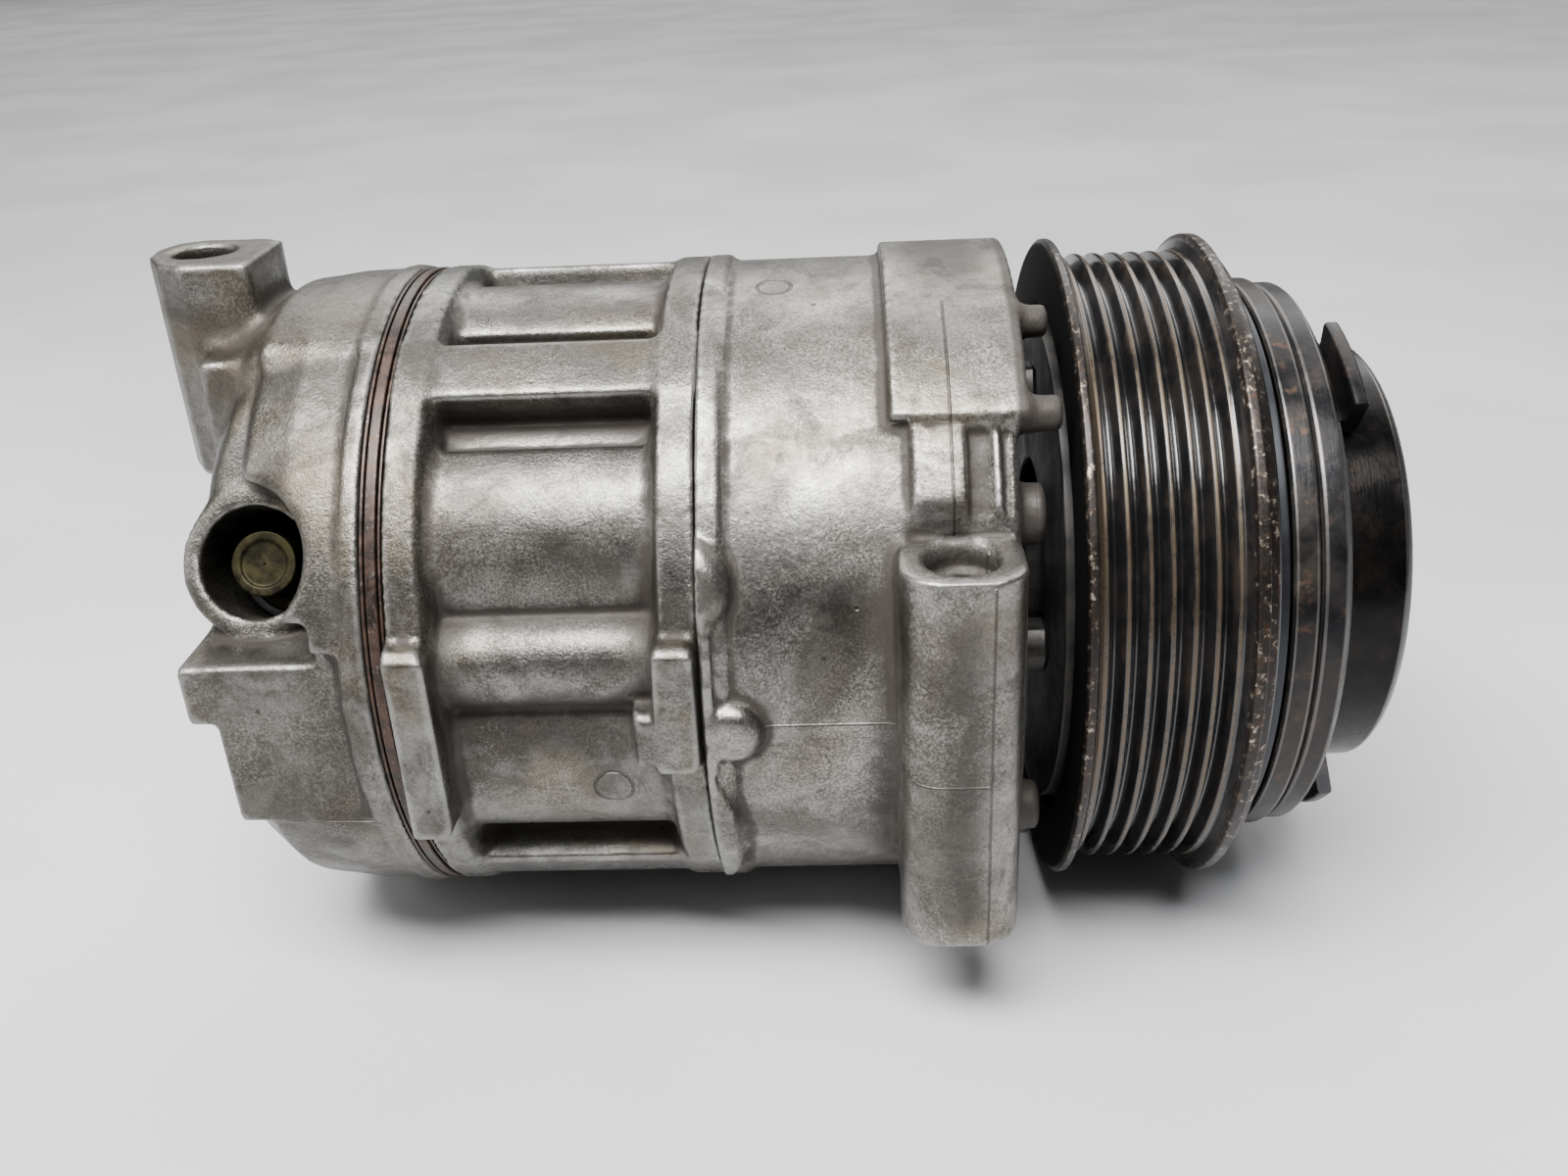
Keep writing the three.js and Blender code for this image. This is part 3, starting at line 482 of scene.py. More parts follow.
class Solid:
    """Gathers faces for one piece built face by face, in millimetres about the shaft."""

    def __init__(self):
        self.points, self.faces = [], []

    def skin(self, base, n, levels):
        """Quads between the rings of n points that follow each other from base."""
        for level in range(levels):
            for i in range(n):
                a, b = base + level * n + i, base + level * n + (i + 1) % n
                self.faces.append((a, b, b + n, a + n))

    def slab(self, outline, x0, x1, bevel=0.3):
        """A plate across the shaft from a closed [y, z] outline, with eased rims."""
        ring = np.array(outline, float)
        inward = ring * (1 - bevel / np.linalg.norm(ring, axis=1, keepdims=True))
        base = len(self.points)
        n = len(ring)
        for x, line in ((x0, inward), (x0 + bevel, ring), (x1 - bevel, ring), (x1, inward)):
            self.points += [(x, *p) for p in line]
        self.skin(base, n, 3)
        self.faces.append(tuple(base + i for i in reversed(range(n))))
        self.faces.append(tuple(base + 3 * n + i for i in range(n)))

    def sector(self, spans, radii, azimuths, ease=0.5, steps=20):
        """A curved bar round the shaft: its section is a rounded box of X span by radius span."""
        (x0, x1), (r0, r1) = spans, radii
        section = eased([(x0, r0), (x0, r1), (x1, r1), (x1, r0)], ease, 3)
        base = len(self.points)
        n = len(section)
        for az in np.linspace(azimuths[0], azimuths[1], steps):
            self.points += [(x, *polar(az, r)) for x, r in section]
        self.skin(base, n, steps - 1)
        self.faces.append(tuple(base + i for i in reversed(range(n))))
        self.faces.append(tuple(base + (steps - 1) * n + i for i in range(n)))

    def build(self, name, smooth=35):
        mesh = bpy.data.meshes.new(name)
        mesh.from_pydata([tuple(p) for p in to_frame(self.points)], [], self.faces)
        work = bmesh.new()
        work.from_mesh(mesh)
        bmesh.ops.recalc_face_normals(work, faces=work.faces)
        work.to_mesh(mesh)
        work.free()
        mesh.shade_smooth()
        mesh.set_sharp_from_angle(angle=math.radians(smooth))
        obj = bpy.data.objects.new(name, mesh)
        bpy.context.scene.collection.objects.link(obj)
        return obj


def aim(obj, azimuth, x):
    """Turns a piece made about the shaft so that its axis is the radial line at an azimuth and x."""
    y, z = polar(azimuth, 1)
    out = Vector((0, y, z))
    turn = Vector((1, 0, 0)).rotation_difference(out).to_matrix().to_4x4()
    centre = Matrix.Translation(Vector(to_frame((0, 0, 0))))
    place = Matrix.Translation(Vector(to_frame((x, 0, 0))))
    obj.data.transform(place @ turn @ centre.inverted())
    return obj


def bored(obj, holes):
    """Cuts round holes through a piece. Each hole is (x0, x1, azimuth, offset, radius)."""
    gathered = bmesh.new()
    for x0, x1, az, offset, radius in holes:
        y, z = polar(az, offset)
        centre = Matrix.Translation(Vector(to_frame(((x0 + x1) / 2, y, z))))
        bmesh.ops.create_cone(gathered, cap_ends=True, segments=24, radius1=radius / 1000,
                              radius2=radius / 1000, depth=(x1 - x0) / 1000,
                              matrix=centre @ Matrix.Rotation(math.pi / 2, 4, "Y"))
    cutter_mesh = bpy.data.meshes.new("cutter")
    gathered.to_mesh(cutter_mesh)
    gathered.free()
    cutter = bpy.data.objects.new("cutter", cutter_mesh)
    bpy.context.scene.collection.objects.link(cutter)
    change = obj.modifiers.new("holes", "BOOLEAN")
    change.operation, change.object, change.solver = "DIFFERENCE", cutter, "EXACT"
    settled = obj.evaluated_get(bpy.context.evaluated_depsgraph_get())
    mesh = bpy.data.meshes.new_from_object(settled)
    obj.modifiers.clear()
    obj.data = mesh
    bpy.data.objects.remove(cutter)
    mesh.set_sharp_from_angle(angle=math.radians(35))
    return obj


def hexagon():
    """A unit hexagon with each corner cut across, as two points."""
    angles = [2 * math.pi * (i + shift) / 6 for i in range(6) for shift in (-0.06, 0.06)]
    return [(math.cos(a), math.sin(a)) for a in angles]


def bolt(index):
    """A through bolt: chamfered hexagon head with a dished top, washer face and shank."""
    az = AZ_BOLT + index * AZ_STEP
    cy, cz = polar(az, R_BOLTS)
    x0 = X_CASE[1] + 0.3
    work = Solid()
    levels = [(x0, 4.1), (x0 + 0.4, 4.1), (x0 + 0.5, 4.55), (x0 + 3.8, 4.55), (x0 + 4.5, 3.9),
              (x0 + 4.5, 2.6), (x0 + 4.1, 2.2)]
    hexa = hexagon()
    n = len(hexa)
    for x, r in levels:
        round_level = r < 4.2 or x < x0 + 0.45
        for i, (u, v) in enumerate(hexa):
            length = math.hypot(u, v)
            k = r / length if round_level else r
            work.points.append((x, cy + u * k, cz + v * k))
    work.skin(0, n, len(levels) - 1)
    work.faces.append(tuple((len(levels) - 1) * n + i for i in range(n)))
    shank_start = len(work.points)
    steps = 20
    for x in (x0, BOLT_END):
        for angle in (2 * math.pi * i / steps for i in range(steps)):
            work.points.append((x, cy + R_SHANK * math.cos(angle), cz + R_SHANK * math.sin(angle)))
    work.skin(shank_start, steps, 1)
    work.faces.append(tuple(shank_start + steps + i for i in range(steps)))
    work.faces.append(tuple(range(n)))
    work.faces.append(tuple(shank_start + i for i in range(steps)))
    return work.build(f"through_bolt_{index + 1}_made")


# ---------------- materials
class Look:
    """One procedural material, with its pattern fixed to the piece and sized in millimetres."""

    def __init__(self, name, **shader):
        self.material = bpy.data.materials.new(name)
        self.material.use_nodes = True
        self.tree = self.material.node_tree
        self.shader = self.tree.nodes["Principled BSDF"]
        for key, value in shader.items():
            self.shader.inputs[key.replace("_", " ")].default_value = value
        self.place = self.tree.nodes.new("ShaderNodeTexCoord").outputs["Object"]
        self.bumped = None

    def feed(self, socket, value):
        if isinstance(value, bpy.types.NodeSocket):
            self.tree.links.new(value, socket)
        else:
            if socket.type == "RGBA" and len(value) == 3:
                value = (*value, 1)
            socket.default_value = value

    def noise(self, size, detail=3.0, rough=0.5, stretch=None, distort=0.0):
        node = self.tree.nodes.new("ShaderNodeTexNoise")
        where = self.place
        if stretch:
            scale = self.tree.nodes.new("ShaderNodeMapping")
            self.feed(scale.inputs["Vector"], where)
            scale.inputs["Scale"].default_value = stretch
            where = scale.outputs["Vector"]
        self.feed(node.inputs["Vector"], where)
        node.inputs["Scale"].default_value = 1000 / size
        node.inputs["Detail"].default_value = detail
        node.inputs["Roughness"].default_value = rough
        node.inputs["Distortion"].default_value = distort
        return node.outputs["Fac"]

    def specks(self, size):
        node = self.tree.nodes.new("ShaderNodeTexVoronoi")
        self.feed(node.inputs["Vector"], self.place)
        node.inputs["Scale"].default_value = 1000 / size
        return node.outputs["Distance"]

    def math(self, operation, a, b=0.0):
        node = self.tree.nodes.new("ShaderNodeMath")
        node.operation = operation
        for socket, value in zip(node.inputs, (a, b)):
            self.feed(socket, value)
        return node.outputs[0]

    def times(self, a, b):
        return self.math("MULTIPLY", a, b)

    def plus(self, a, b):
        return self.math("ADD", a, b)

    def minus(self, a, b):
        return self.math("SUBTRACT", a, b)

    def most(self, a, b):
        return self.math("MAXIMUM", a, b)

    def span(self, value, low, high, start=0.0, end=1.0):
        """value from low to high, taken smoothly to start..end and held there beyond."""
        node = self.tree.nodes.new("ShaderNodeMapRange")
        node.interpolation_type = "SMOOTHSTEP"
        names = ("Value", "From Min", "From Max", "To Min", "To Max")
        for key, setting in zip(names, (value, low, high, start, end)):
            self.feed(node.inputs[key], setting)
        return node.outputs[0]

    def mix(self, share, a, b):
        node = self.tree.nodes.new("ShaderNodeMix")
        node.data_type = "RGBA"
        self.feed(node.inputs[0], share)
        self.feed(node.inputs[6], a)
        self.feed(node.inputs[7], b)
        return node.outputs[2]

    def stored(self, name):
        node = self.tree.nodes.new("ShaderNodeAttribute")
        node.attribute_name = name
        return node.outputs["Fac"]

    def axes(self):
        """X, the radius from the shaft axis, Z and Y, in millimetres about the shaft."""
        shift = self.tree.nodes.new("ShaderNodeVectorMath")
        shift.operation = "MULTIPLY_ADD"
        self.feed(shift.inputs[0], self.place)
        shift.inputs[1].default_value = (1000, 1000, 1000)
        shift.inputs[2].default_value = tuple(ORIGIN)
        parts = self.tree.nodes.new("ShaderNodeSeparateXYZ")
        self.feed(parts.inputs[0], shift.outputs[0])
        across = self.plus(self.times(parts.outputs[1], parts.outputs[1]),
                           self.times(parts.outputs[2], parts.outputs[2]))
        return parts.outputs[0], self.math("SQRT", across), parts.outputs[2], parts.outputs[1]

    def ring(self, x, y, z, x0, azimuth, radius, half=0.35):
        """One on a thin circle about the radial line at an azimuth, on that side of the shaft only."""
        a = math.radians(azimuth)
        across = self.plus(self.times(y, math.sin(a)), self.times(z, math.cos(a)))
        along = self.minus(self.times(z, math.sin(a)), self.times(y, math.cos(a)))
        off = self.minus(x, x0)
        away = self.math("SQRT", self.plus(self.times(off, off),
                                           self.times(across, across)))
        gap = self.math("ABSOLUTE", self.minus(away, radius))
        return self.times(self.span(gap, half * 0.4, half, 1, 0), self.span(along, 0, 1))

    def seam(self, value, place, x, z, y, limits):
        """One on a thin line where value equals place, inside limits of X and Z, on the near side only."""
        gap = self.math("ABSOLUTE", self.minus(value, place))
        line = self.times(self.span(gap, 0.1, 0.28, 1, 0), self.span(y, 0, -1))
        for axis, low, high in ((x, *limits[:2]), (z, *limits[2:])):
            inside = self.times(self.span(axis, low, low + 0.5), self.span(axis, high - 0.5, high, 1, 0))
            line = self.times(line, inside)
        return line

    def bump(self, height, depth):
        """depth in millimetres for a height of one."""
        node = self.tree.nodes.new("ShaderNodeBump")
        node.inputs["Strength"].default_value = 1
        node.inputs["Distance"].default_value = depth / 1000
        self.feed(node.inputs["Height"], height)
        if self.bumped:
            self.feed(node.inputs["Normal"], self.bumped)
        self.bumped = node.outputs["Normal"]

    def finish(self, colour, roughness, metallic=None):
        self.feed(self.shader.inputs["Base Color"], colour)
        self.feed(self.shader.inputs["Roughness"], roughness)
        if metallic is not None:
            self.feed(self.shader.inputs["Metallic"], metallic)
        if self.bumped:
            self.feed(self.shader.inputs["Normal"], self.bumped)
        return self.material


def cast_aluminium(name, light, dark, sheltered, grain=0.05, brushed=0.0, rings=(), seams=(), dark_patches=()):
    """Weathered die casting: clouded grey metal with grime and painted shade in its corners and hollows,
    painted shade on the front face next to the pulley, painted glints, rubbed edges and mould marks.

    sheltered is the span of the hollow value over which grime and painted shade build up. A ring is (x,
    azimuth, radius) of an ejector mark. A seam is (axis, place, low X, high X, low Z, high Z) of a raised
    parting line. Each darker patch is (low X, high X, low Z, high Z, share) of a zone painted darker.
    """
    look = Look(name)
    x, _, z, y = look.axes()
    cloud = look.noise(34, 5, 0.6, distort=0.6)
    blotch = look.noise(9, 6, 0.7, distort=0.5)
    fine = look.noise(0.62, 4, 0.65)
    sand = look.noise(0.36, 2, 0.7)
    tone = look.plus(look.times(cloud, 0.55), look.times(blotch, 0.45))
    colour = look.mix(look.span(tone, 0.4, 0.6), dark, light)
    warm = look.times(look.span(look.noise(26, 4, 0.6), 0.48, 0.62), 0.55)
    colour = look.mix(warm, colour, (0.125, 0.1, 0.068))
    streak = look.noise(4, 5, 0.7, stretch=(0.3, 1.6, 1.6))
    colour = look.mix(look.times(look.span(streak, 0.56, 0.7), 0.5), colour, (0.06, 0.052, 0.044))
    rub = look.noise(20, 7, 0.72, distort=0.8)
    rubbed = look.times(look.span(rub, 0.54, 0.64), look.span(fine, 0.36, 0.62))
    colour = look.mix(look.times(rubbed, 0.4), colour, tuple(1.9 * v for v in light))
    stain = look.times(look.span(look.noise(15, 6, 0.66, distort=0.9), 0.5, 0.6), 0.55)
    colour = look.mix(stain, colour, (0.05, 0.044, 0.036))
    sway = look.times(look.minus(cloud, 0.5), 36)
    wavy_x, wavy_z = look.plus(x, sway), look.plus(z, sway)
    # darker patches: each zone within its X and Z limits is painted darker
    for x0, x1, z0, z1, share in dark_patches:
        along = look.times(look.span(wavy_x, x0 - 5, x0 + 5), look.span(wavy_x, x1 + 5, x1 - 5))
        up = look.times(look.span(wavy_z, z0 - 5, z0 + 5), look.span(wavy_z, z1 + 5, z1 - 5))
        patch = look.times(look.times(along, up), look.span(blotch, 0.36, 0.56, 0.55, 1.0))
        colour = look.mix(look.times(patch, share), colour, (0.05, 0.044, 0.035))
    mottle = look.noise(1.9, 6, 0.78)
    colour = look.mix(look.times(look.span(mottle, 0.48, 0.68), 0.34), colour, tuple(0.45 * v for v in dark))
    colour = look.mix(look.times(look.span(sand, 0.54, 0.68), 0.5), colour, (0.03, 0.027, 0.024))
    # painted glints: fine bright specks of highlight painted into the colour where rub is high
    painted_glint = look.times(look.span(look.noise(0.45, 3, 0.75), 0.42, 0.66),
                       look.span(rub, 0.42, 0.58, 0.1, 0.45))
    colour = look.mix(painted_glint, colour, tuple(1.9 * v for v in light))
    edge, hollow = look.stored("edge"), look.stored("hollow")
    uneven = look.minus(blotch, 0.5)
    worn = look.span(look.plus(edge, look.times(uneven, 0.8)), 0.2, 0.5)
    colour = look.mix(look.times(worn, 0.4), colour, (0.34, 0.335, 0.32))
    # grime and painted shade: hollows and concave corners are darkened, partly grime and partly painted shade
    deep = look.span(look.plus(hollow, look.times(uneven, 2.0)), *sheltered)
    corner = look.span(look.plus(edge, look.times(uneven, 0.4)), -0.04, -0.2)
    # painted shade: the casing's front face next to the pulley is painted near black
    painted_shade_by_pulley = look.span(x, 57.0, 58.2)
    grime_and_shade = look.times(look.most(look.most(deep, corner), painted_shade_by_pulley), 0.92)
    colour = look.mix(grime_and_shade, colour, (0.024, 0.019, 0.015))
    pits = look.times(look.span(look.specks(5.5), 0.05, 0.11, 1.0, 0.0), look.span(cloud, 0.52, 0.6))
    colour = look.mix(look.times(pits, 0.7), colour, (0.02, 0.018, 0.015))
    look.bump(look.noise(11, 4, 0.55), 0.3)
    look.bump(mottle, grain * 1.5)
    look.bump(fine, grain * 1.6)
    look.bump(sand, grain * 1.2)
    look.bump(look.minus(1, pits), 0.1)
    if brushed:
        look.bump(look.noise(1.1, 4, 0.7, stretch=(2.4, 0.16, 0.16)), 0.05 * brushed)
    for x0, azimuth, radius in rings:
        line = look.ring(x, y, z, x0, azimuth, radius)
        colour = look.mix(look.times(line, 0.5), colour, (0.03, 0.025, 0.02))
        look.bump(look.minus(1, line), 0.3)
    for axis, place, *limits in seams:
        line = look.seam((x, z)[axis], place, x, z, y, limits)
        colour = look.mix(look.times(line, 0.55), colour, (0.035, 0.03, 0.025))
        look.bump(line, 0.25)
    rough = look.span(tone, 0.38, 0.62, 0.42, 0.27)
    rough = look.plus(rough, look.times(stain, 0.2))
    rough = look.plus(rough, look.times(grime_and_shade, 0.25))
    rough = look.plus(rough, look.times(look.minus(fine, 0.5), 0.2))
    metal = look.minus(0.95, look.times(grime_and_shade, 0.6))
    return look.finish(colour, rough, metal)


def banded_steel(name):
    """The rims of the valve plate and gaskets: brown, with rust and oil."""
    look = Look(name)
    rust = look.noise(4, 6, 0.7, distort=0.5)
    colour = look.mix(look.span(rust, 0.42, 0.6), (0.022, 0.016, 0.014), (0.06, 0.035, 0.026))
    colour = look.mix(look.span(look.noise(0.8, 3), 0.6, 0.72), colour, (0.1, 0.088, 0.08))
    look.bump(look.noise(0.7, 4, 0.6, stretch=(1, 0.3, 0.3)), 0.06)
    return look.finish(colour, look.span(rust, 0.3, 0.7, 0.32, 0.55), 0.6)


def black_pulley(name):
    """Gloss black paint worn to bare steel on the crests, with rusty flanges, a bare friction face and
    painted shade on the rear face.
    """
    look = Look(name, Coat_Roughness=0.12)
    x, radius, _, _ = look.axes()
    wear = look.noise(9, 5, 0.7)
    speck = look.noise(1.5, 5, 0.7)
    colour = look.mix(look.span(wear, 0.42, 0.62), (0.006, 0.006, 0.0065), (0.014, 0.012, 0.011))
    grooves = look.times(look.span(x, 69.4, 69.8), look.span(x, 92.2, 92.6, 1, 0))
    crest = look.times(look.span(radius, R_CREST - 0.135, R_CREST - 0.11), grooves)
    crest = look.times(crest, look.span(wear, 0.34, 0.56, 0.3, 0.9))
    colour = look.mix(crest, colour, (0.09, 0.066, 0.044))
    flank = look.times(look.span(radius, R_ROOT + 0.8, R_CREST - 0.4), grooves)
    flank = look.times(flank, look.span(look.noise(2.2, 4, 0.6, stretch=(1, 0.25, 0.25)), 0.52, 0.64))
    colour = look.mix(look.times(flank, 0.2), colour, (0.08, 0.054, 0.032))
    front = look.times(look.span(x, 93.6, 94.0), look.span(radius, 58.4, 59.4))
    rear = look.times(look.span(x, 69.3, 69.0), look.span(radius, 60.2, 61.4))
    flange = look.most(front, rear)
    colour = look.mix(look.times(flange, 0.75), colour, (0.022, 0.018, 0.016))
    rust = look.times(flange, look.span(speck, 0.52, 0.6))
    colour = look.mix(look.times(rust, 0.65), colour, (0.1, 0.075, 0.052))
    pale = look.times(flange, look.span(speck, 0.58, 0.64))
    colour = look.mix(look.times(pale, 0.7), colour, (0.36, 0.32, 0.27))
    red = look.times(flange, look.span(look.noise(2.2, 5, 0.7), 0.55, 0.63))
    colour = look.mix(look.times(red, 0.55), colour, (0.06, 0.028, 0.016))
    face = look.times(look.span(x, 98.5, 98.7), look.span(radius, 55.4, 54.8))
    colour = look.mix(look.times(face, 0.85), colour, (0.03, 0.032, 0.037))
    bare = look.most(look.most(crest, flange), face)
    rough = look.plus(look.span(wear, 0.35, 0.7, 0.12, 0.26), look.times(bare, 0.24))
    # painted shade: the rear face, in the gap by the casing, is painted near black and made rough and dull
    painted_shade_rear_face = look.span(x, 67.4, 67.9, 1, 0)
    rough = look.most(rough, look.times(painted_shade_rear_face, 0.75))
    colour = look.mix(painted_shade_rear_face, colour, (0.003, 0.003, 0.003))
    look.feed(look.shader.inputs["Coat Weight"], look.span(x, 67.4, 67.9, 0, 0.15))
    look.feed(look.shader.inputs["Specular IOR Level"], look.span(x, 67.4, 67.9, 0.05, 0.5))
    look.bump(look.noise(6, 4, 0.6), 0.04)
    look.bump(look.times(speck, look.plus(flange, 0.12)), 0.1)
    return look.finish(colour, rough, look.times(bare, 0.8))


def clutch_steel(name, base, lift, rusty=0.3, rough=(0.28, 0.5), bright=(0.15, 0.143, 0.135)):
    """Dark oiled steel turned on a lathe, with bright rubbed corners and a little rust."""
    look = Look(name)
    cloud = look.noise(13, 5, 0.65)
    colour = look.mix(look.span(cloud, 0.38, 0.64), base, lift)
    rust = look.times(look.span(look.noise(3.2, 6, 0.72), 0.54, 0.66), rusty)
    colour = look.mix(rust, colour, (0.16, 0.07, 0.03))
    worn = look.span(look.plus(look.stored("edge"), look.times(cloud, 0.6)), 0.7, 1.3)
    colour = look.mix(look.times(worn, 0.6), colour, bright)
    look.bump(look.noise(0.9, 3, 0.6), 0.02)
    look.bump(look.noise(1.2, 3, 0.6, stretch=(2.5, 0.2, 0.2)), 0.02)
    shine = look.plus(look.span(cloud, 0.35, 0.65, rough[0], rough[1]), look.times(rust, 0.3))
    return look.finish(colour, shine, look.minus(0.85, look.times(rust, 0.5)))


def plain_metal(name, base, lift, rough=(0.25, 0.45), size=7.0, metallic=0.95):
    """A clean machined or plated metal."""
    look = Look(name)
    cloud = look.noise(size, 5, 0.62)
    colour = look.mix(look.span(cloud, 0.36, 0.64), base, lift)
    colour = look.mix(look.times(look.span(look.noise(1.6, 4), 0.58, 0.7), 0.5), colour,
                      tuple(v * 0.45 for v in base))
    look.bump(look.noise(0.7, 3, 0.6), 0.02)
    return look.finish(colour, look.span(cloud, 0.3, 0.7, rough[0], rough[1]), metallic)


def moulded_rubber(name):
    look = Look(name, Metallic=0.0)
    colour = look.mix(look.span(look.noise(4, 4), 0.4, 0.62), (0.012, 0.012, 0.012), (0.035, 0.033, 0.031))
    look.bump(look.noise(0.5, 3), 0.04)
    return look.finish(colour, look.span(look.noise(6, 3), 0.3, 0.7, 0.7, 0.9))


def painted(obj, look):
    obj.data.materials.clear()
    obj.data.materials.append(look)
    return obj


def fit(obj, body, slot, look, *nodes):
    """Puts a made piece in place of CAD nodes, on their body, with its finish."""
    painted(obj, look)
    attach(obj, body)
    if nodes:
        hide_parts(*nodes)
    return obj


# ---------------- making the pieces
head_metal = cast_aluminium("head_casting", (0.15, 0.144, 0.132), (0.06, 0.055, 0.047), (-0.1, 1.3), 0.06,
                            seams=[(1, -21, -90, -52, -30, -10)], dark_patches=[(-90, -40, -60, 4, 0.5)])
block_metal = cast_aluminium("block_casting", (0.16, 0.155, 0.144), (0.065, 0.061, 0.054), (-0.6, 0.8), 0.045,
                             rings=[(-11.4, -14.6, 3.3)], dark_patches=[(-32, 2, 12, 26, 0.5)])
case_metal = cast_aluminium(
    "case_casting", (0.24, 0.233, 0.218), (0.085, 0.078, 0.066), (-1.15, 0.1), 0.03, 1.0,
    rings=[(18, 80, 3.0)],
    seams=[(0, 46.8, 40, 50, 28.5, 59), (0, 52, 40, 58, -42, 27),
           (1, -9, 38, 52, -12, -6), (1, -1.2, 14, 37, -4, 2)],
    dark_patches=[(12, 46, 2, 27, 0.75), (2, 44, -50, 0, 0.3)])
band_metal = banded_steel("brown_steel")
pulley_paint = black_pulley("pulley_black")
ring_metal = clutch_steel("clutch_ring", (0.016, 0.016, 0.018), (0.034, 0.031, 0.029), 0.15)
plate_metal = clutch_steel("armature_steel", (0.018, 0.018, 0.02), (0.04, 0.035, 0.03), 0.25)
cup_black = clutch_steel("cup_black", (0.008, 0.0077, 0.0077), (0.015, 0.013, 0.0115), 0.05, (0.2, 0.34))
bolt_metal = plain_metal("bolt_steel", (0.022, 0.021, 0.02), (0.05, 0.047, 0.043), (0.4, 0.6))
bright_metal = plain_metal("machined_steel", (0.42, 0.42, 0.41), (0.6, 0.6, 0.58))
# near-black steel: painted shade on the valve snap ring, and the coil's dark steel darkened further as
# painted shade
dark_steel_and_shade = plain_metal("dark_steel", (0.012, 0.012, 0.012), (0.03, 0.027, 0.024), (0.4, 0.6), metallic=0.4)
# dull brass darkened to near black: painted shade inside the valve bore
brass_painted_shade = plain_metal("valve_brass_painted_shade", (0.014, 0.0125, 0.008), (0.034, 0.03, 0.014), (0.45, 0.65), 3.0)
bronze_metal = plain_metal("bronze_coat", (0.32, 0.2, 0.09), (0.46, 0.3, 0.14), (0.25, 0.4))
piston_metal = plain_metal("piston_alloy", (0.5, 0.49, 0.47), (0.66, 0.65, 0.62), (0.22, 0.36))
rubber = moulded_rubber("rubber")

fit(rear_head(), "housing", "cast_aluminium", head_metal, "rear_head")
fit(cylinder_block(), "housing", "cast_aluminium", block_metal, "cylinder_block")
fit(front_housing(), "housing", "cast_aluminium_bright", case_metal, "front_housing")

bolt_ring = [(-60, -40, AZ_BOLT + i * AZ_STEP, R_BOLTS, 3.2) for i in range(CYLINDERS)]
delivery = [(-60, -40, AZ_CYLINDER + i * AZ_STEP, 38, 3) for i in range(CYLINDERS)]
intake = [(-60, -40, AZ_CYLINDER + i * AZ_STEP, 47, 1.8) for i in range(CYLINDERS)]
gasket = lathe("head_gasket_made", [(-49.2, 46), (-49.2, R_RIM), (-48.7, R_RIM), (-48.7, 46)], 0.1)
plate = lathe("valve_plate_made", [(-48.4, 0), (-48.4, R_RIM), (-46.6, R_RIM), (-46.6, 0)], 0.25)
reed = lathe("suction_reed_made", [(-46.3, 0), (-46.3, 60.6), (-45.9, 60.6), (-45.9, 0)], 0.08)
fit(bored(gasket, bolt_ring), "housing", "coated_steel_brown", band_metal, "head_gasket")
fit(bored(plate, bolt_ring + delivery + intake), "housing", "coated_steel_brown", band_metal, "valve_plate")
fit(bored(reed, bolt_ring + delivery), "housing", "machined_steel", band_metal, "suction_reed")

valve = lathe("control_valve_made", [(6.4, 0), (6.4, 7.4), (22, 7.4), (22, 9.4), (28, 9.4), (28, 5.8),
                                     (VALVE_TIP, 5.8), (VALVE_TIP, 4.3), (VALVE_TIP - 0.5, 3.9),
                                     (VALVE_TIP - 0.5, 0)], 0.35, 96)
fit(aim(valve, VALVE_AZ, VALVE_X), "housing", "brass", brass_painted_shade, "control_valve")
# the snap ring is machined steel; its near-black colour is painted shade inside the valve bore
clip = lathe("valve_snap_ring_made", [(28.4, 8), (28.4, 9.5), (29.6, 9.5), (29.6, 8)], 0.3, 96)
fit(aim(clip, VALVE_AZ, VALVE_X), "housing", "machined_steel", dark_steel_and_shade, "valve_snap_ring")

fit(lathe("pulley_made", pulley_outline(), 0.3), "pulley", "black_painted_steel", pulley_paint, "pulley")
# the field coil: dark steel, darkened further as painted shade in the gap between the casing and the pulley
coil = lathe("field_coil_made", [(66.2, 20), (66.2, 47.4), (69.4, 47.4), (69.4, 48.4), (93, 48.4), (93, 37),
                                 (70, 37), (70, 20)], 0.5, 160)
fit(coil, "housing", "dark_steel", dark_steel_and_shade, "field_coil")
armature = lathe("armature_made", [(102.2, 33), (102.2, 53), (102.7, 53.5), (106.1, 53.5), (106.6, 53),
                                   (106.6, 33)], 0.3)
fit(armature, "armature", "dark_steel", plate_metal, "armature_plate")
ring = lathe("hub_ring_made", [(107.1, 24), (107.1, 51.9), (107.8, 52.5), (111.2, 52.5), (112.6, 50.4),
                               (112.6, 24)], 0.4)
fit(ring, "shaft", "dark_steel", ring_metal, "hub_ring")
cup = lathe("hub_cup_made", [(114.8, 37.6), (114.8, 40.1), (115.4, 40.5), (125.4, 40.5), (126.8, 39),
                             (126.8, 13.2), (125.8, 12.5), (125, 12.9), (125, 36.4), (124, 37.2),
                             (116.4, 37.6)], 0.5)
fit(cup, "shaft", "black_cup", cup_black, "hub_cup")


def spring_plate():
    work = Solid()
    outline = []
    for i in range(180):
        azimuth = 2 * i
        off = min(abs((azimuth - 67 - 120 * k + 180) % 360 - 180) for k in range(3))
        reach = 38 + 5 * float(np.clip((15 - off) / 5, 0, 1)) ** 0.5
        outline.append(polar(azimuth, reach))
    work.slab(outline, 113, 114.4)
    for k in range(3):
        middle = 67 + 120 * k
        work.sector((113, 118.4), (41.2, 43.2), (middle - 11, middle + 11), 0.4)
        work.sector((115.8, 118.4), (41.2, 49.8), (middle - 12.5, middle + 12.5), 0.8)
    return work.build("spring_plate_made")


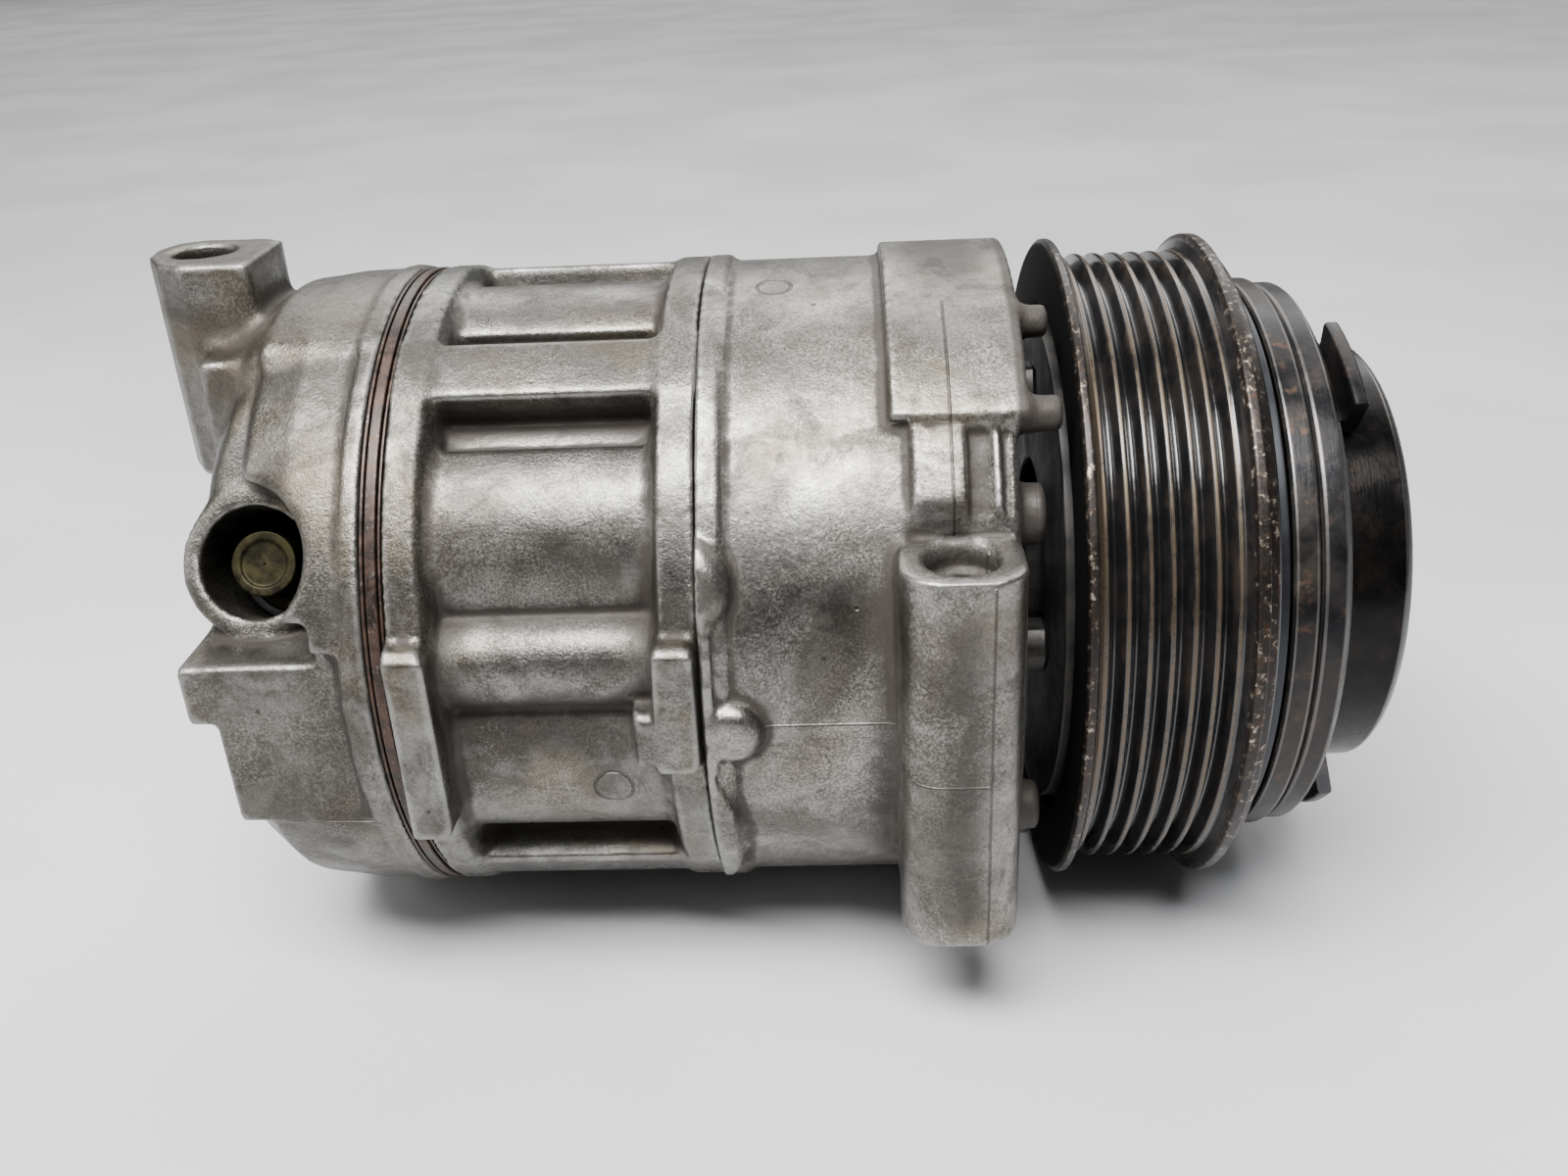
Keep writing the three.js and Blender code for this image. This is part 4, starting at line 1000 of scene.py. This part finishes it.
fit(spring_plate(), "shaft", "dark_steel", ring_metal, "spring_plate")
for i in range(CYLINDERS):
    fit(bolt(i), "housing", "bolt_steel", bolt_metal, f"through_bolt_{i + 1}")

KEPT = {
    "machined_steel": (bright_metal, ["front_bearing", "rear_bearing", "thrust_bearing", "seal_snap_ring",
                                      "coil_snap_ring", "bearing_snap_ring", "pulley_bearing", "drive_shaft",
                                      "lug_plate", "guide_pin", "reed_retainer", "discharge_reed"]),
    "bolt_steel": (bolt_metal, ["return_spring", "shaft_nut"]),
    "dark_steel": (ring_metal, ["hub_boss"]),
    "rubber": (rubber, ["shaft_seal", "hub_damper"]),
    "bronze_coated_iron": (bronze_metal, ["swash_plate"] + [f"shoe_{i + 1}_{end}" for i in range(CYLINDERS)
                                                            for end in ("front", "rear")]),
    "piston_alloy": (piston_metal, [f"piston_{i + 1}" for i in range(CYLINDERS)]),
}
for look, names in KEPT.values():
    for name in names:
        painted(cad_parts[name], look)


# ---------------- stage, light and camera
FLOOR_Z = -62.5
FLOOR_SIZE = 9000
# The camera's tilt about the shaft, its yaw, pitch and roll in degrees, and its place before the tilt.
CAMERA_TURNS = (25.3, -2.591, 0.993, -1.581)
CAMERA_PLACE = (29.67, -286.19, 0)
SENSOR, LENS = 36, 32.44


def floor():
    look = Look("floor_paint", Metallic=0.0)
    tone = look.noise(160, 3)
    look.finish(look.mix(look.span(tone, 0.35, 0.65), (0.46, 0.464, 0.475), (0.51, 0.514, 0.525)),
                look.span(tone, 0.3, 0.7, 0.5, 0.62))
    corners = ((-1, -1), (1, -1), (1, 1), (-1, 1))
    points = [(FLOOR_SIZE * x, FLOOR_SIZE * y, FLOOR_Z) for x, y in corners]
    sheet = mesh_object("floor", points, [(0, 1, 2, 3)])
    painted(sheet, look.material)


def area_light(name, place, target, size, power, colour=(1, 1, 1)):
    """A soft rectangular light; place and target in millimetres about the shaft."""
    data = bpy.data.lights.new(name, "AREA")
    data.shape, data.size, data.size_y = "RECTANGLE", size[0], size[1]
    data.energy, data.color = power, colour
    obj = bpy.data.objects.new(name, data)
    bpy.context.scene.collection.objects.link(obj)
    start, end = Vector(to_frame(place)), Vector(to_frame(target))
    obj.location = start
    obj.rotation_euler = (end - start).to_track_quat("-Z", "Y").to_euler()


def lights():
    world = bpy.data.worlds.new("studio")
    world.use_nodes = True
    back = world.node_tree.nodes["Background"]
    back.inputs["Color"].default_value = (0.93, 0.96, 1.0, 1)
    back.inputs["Strength"].default_value = 0.08
    bpy.context.scene.world = world
    area_light("key", (-110, -350, 790), (0, 0, 0), (0.8, 0.34), 33)
    area_light("left_fill", (-900, -300, 420), (0, 0, 0), (0.6, 0.6), 4, (1, 0.98, 0.95))
    area_light("back_top", (200, 900, 1100), (0, 300, 0), (2.2, 0.9), 19)
    area_light("far_floor", (0, 2900, 1900), (0, 2900, 0), (6, 2.4), 110)


def camera():
    tilt, yaw, pitch, roll = (math.radians(v) for v in CAMERA_TURNS)
    forward = Vector((math.sin(yaw) * math.cos(pitch), math.cos(yaw) * math.cos(pitch), -math.sin(pitch)))
    right = Vector((math.cos(yaw), -math.sin(yaw), 0))
    up = right.cross(forward)
    right, up = (math.cos(roll) * right + math.sin(roll) * up,
                 -math.sin(roll) * right + math.cos(roll) * up)
    lean = Matrix.Rotation(-tilt, 4, "X")
    data = bpy.data.cameras.new("camera")
    data.sensor_width, data.lens = SENSOR, LENS
    data.clip_start, data.clip_end = 0.01, 20
    obj = bpy.data.objects.new("camera", data)
    bpy.context.scene.collection.objects.link(obj)
    axes = Matrix((right, up, -forward)).transposed().to_4x4()
    place = lean @ Vector(CAMERA_PLACE)
    obj.matrix_world = Matrix.Translation(Vector(to_frame(place))) @ lean @ axes
    bpy.context.scene.camera = obj


floor()
lights()
camera()
bpy.context.view_layer.update()
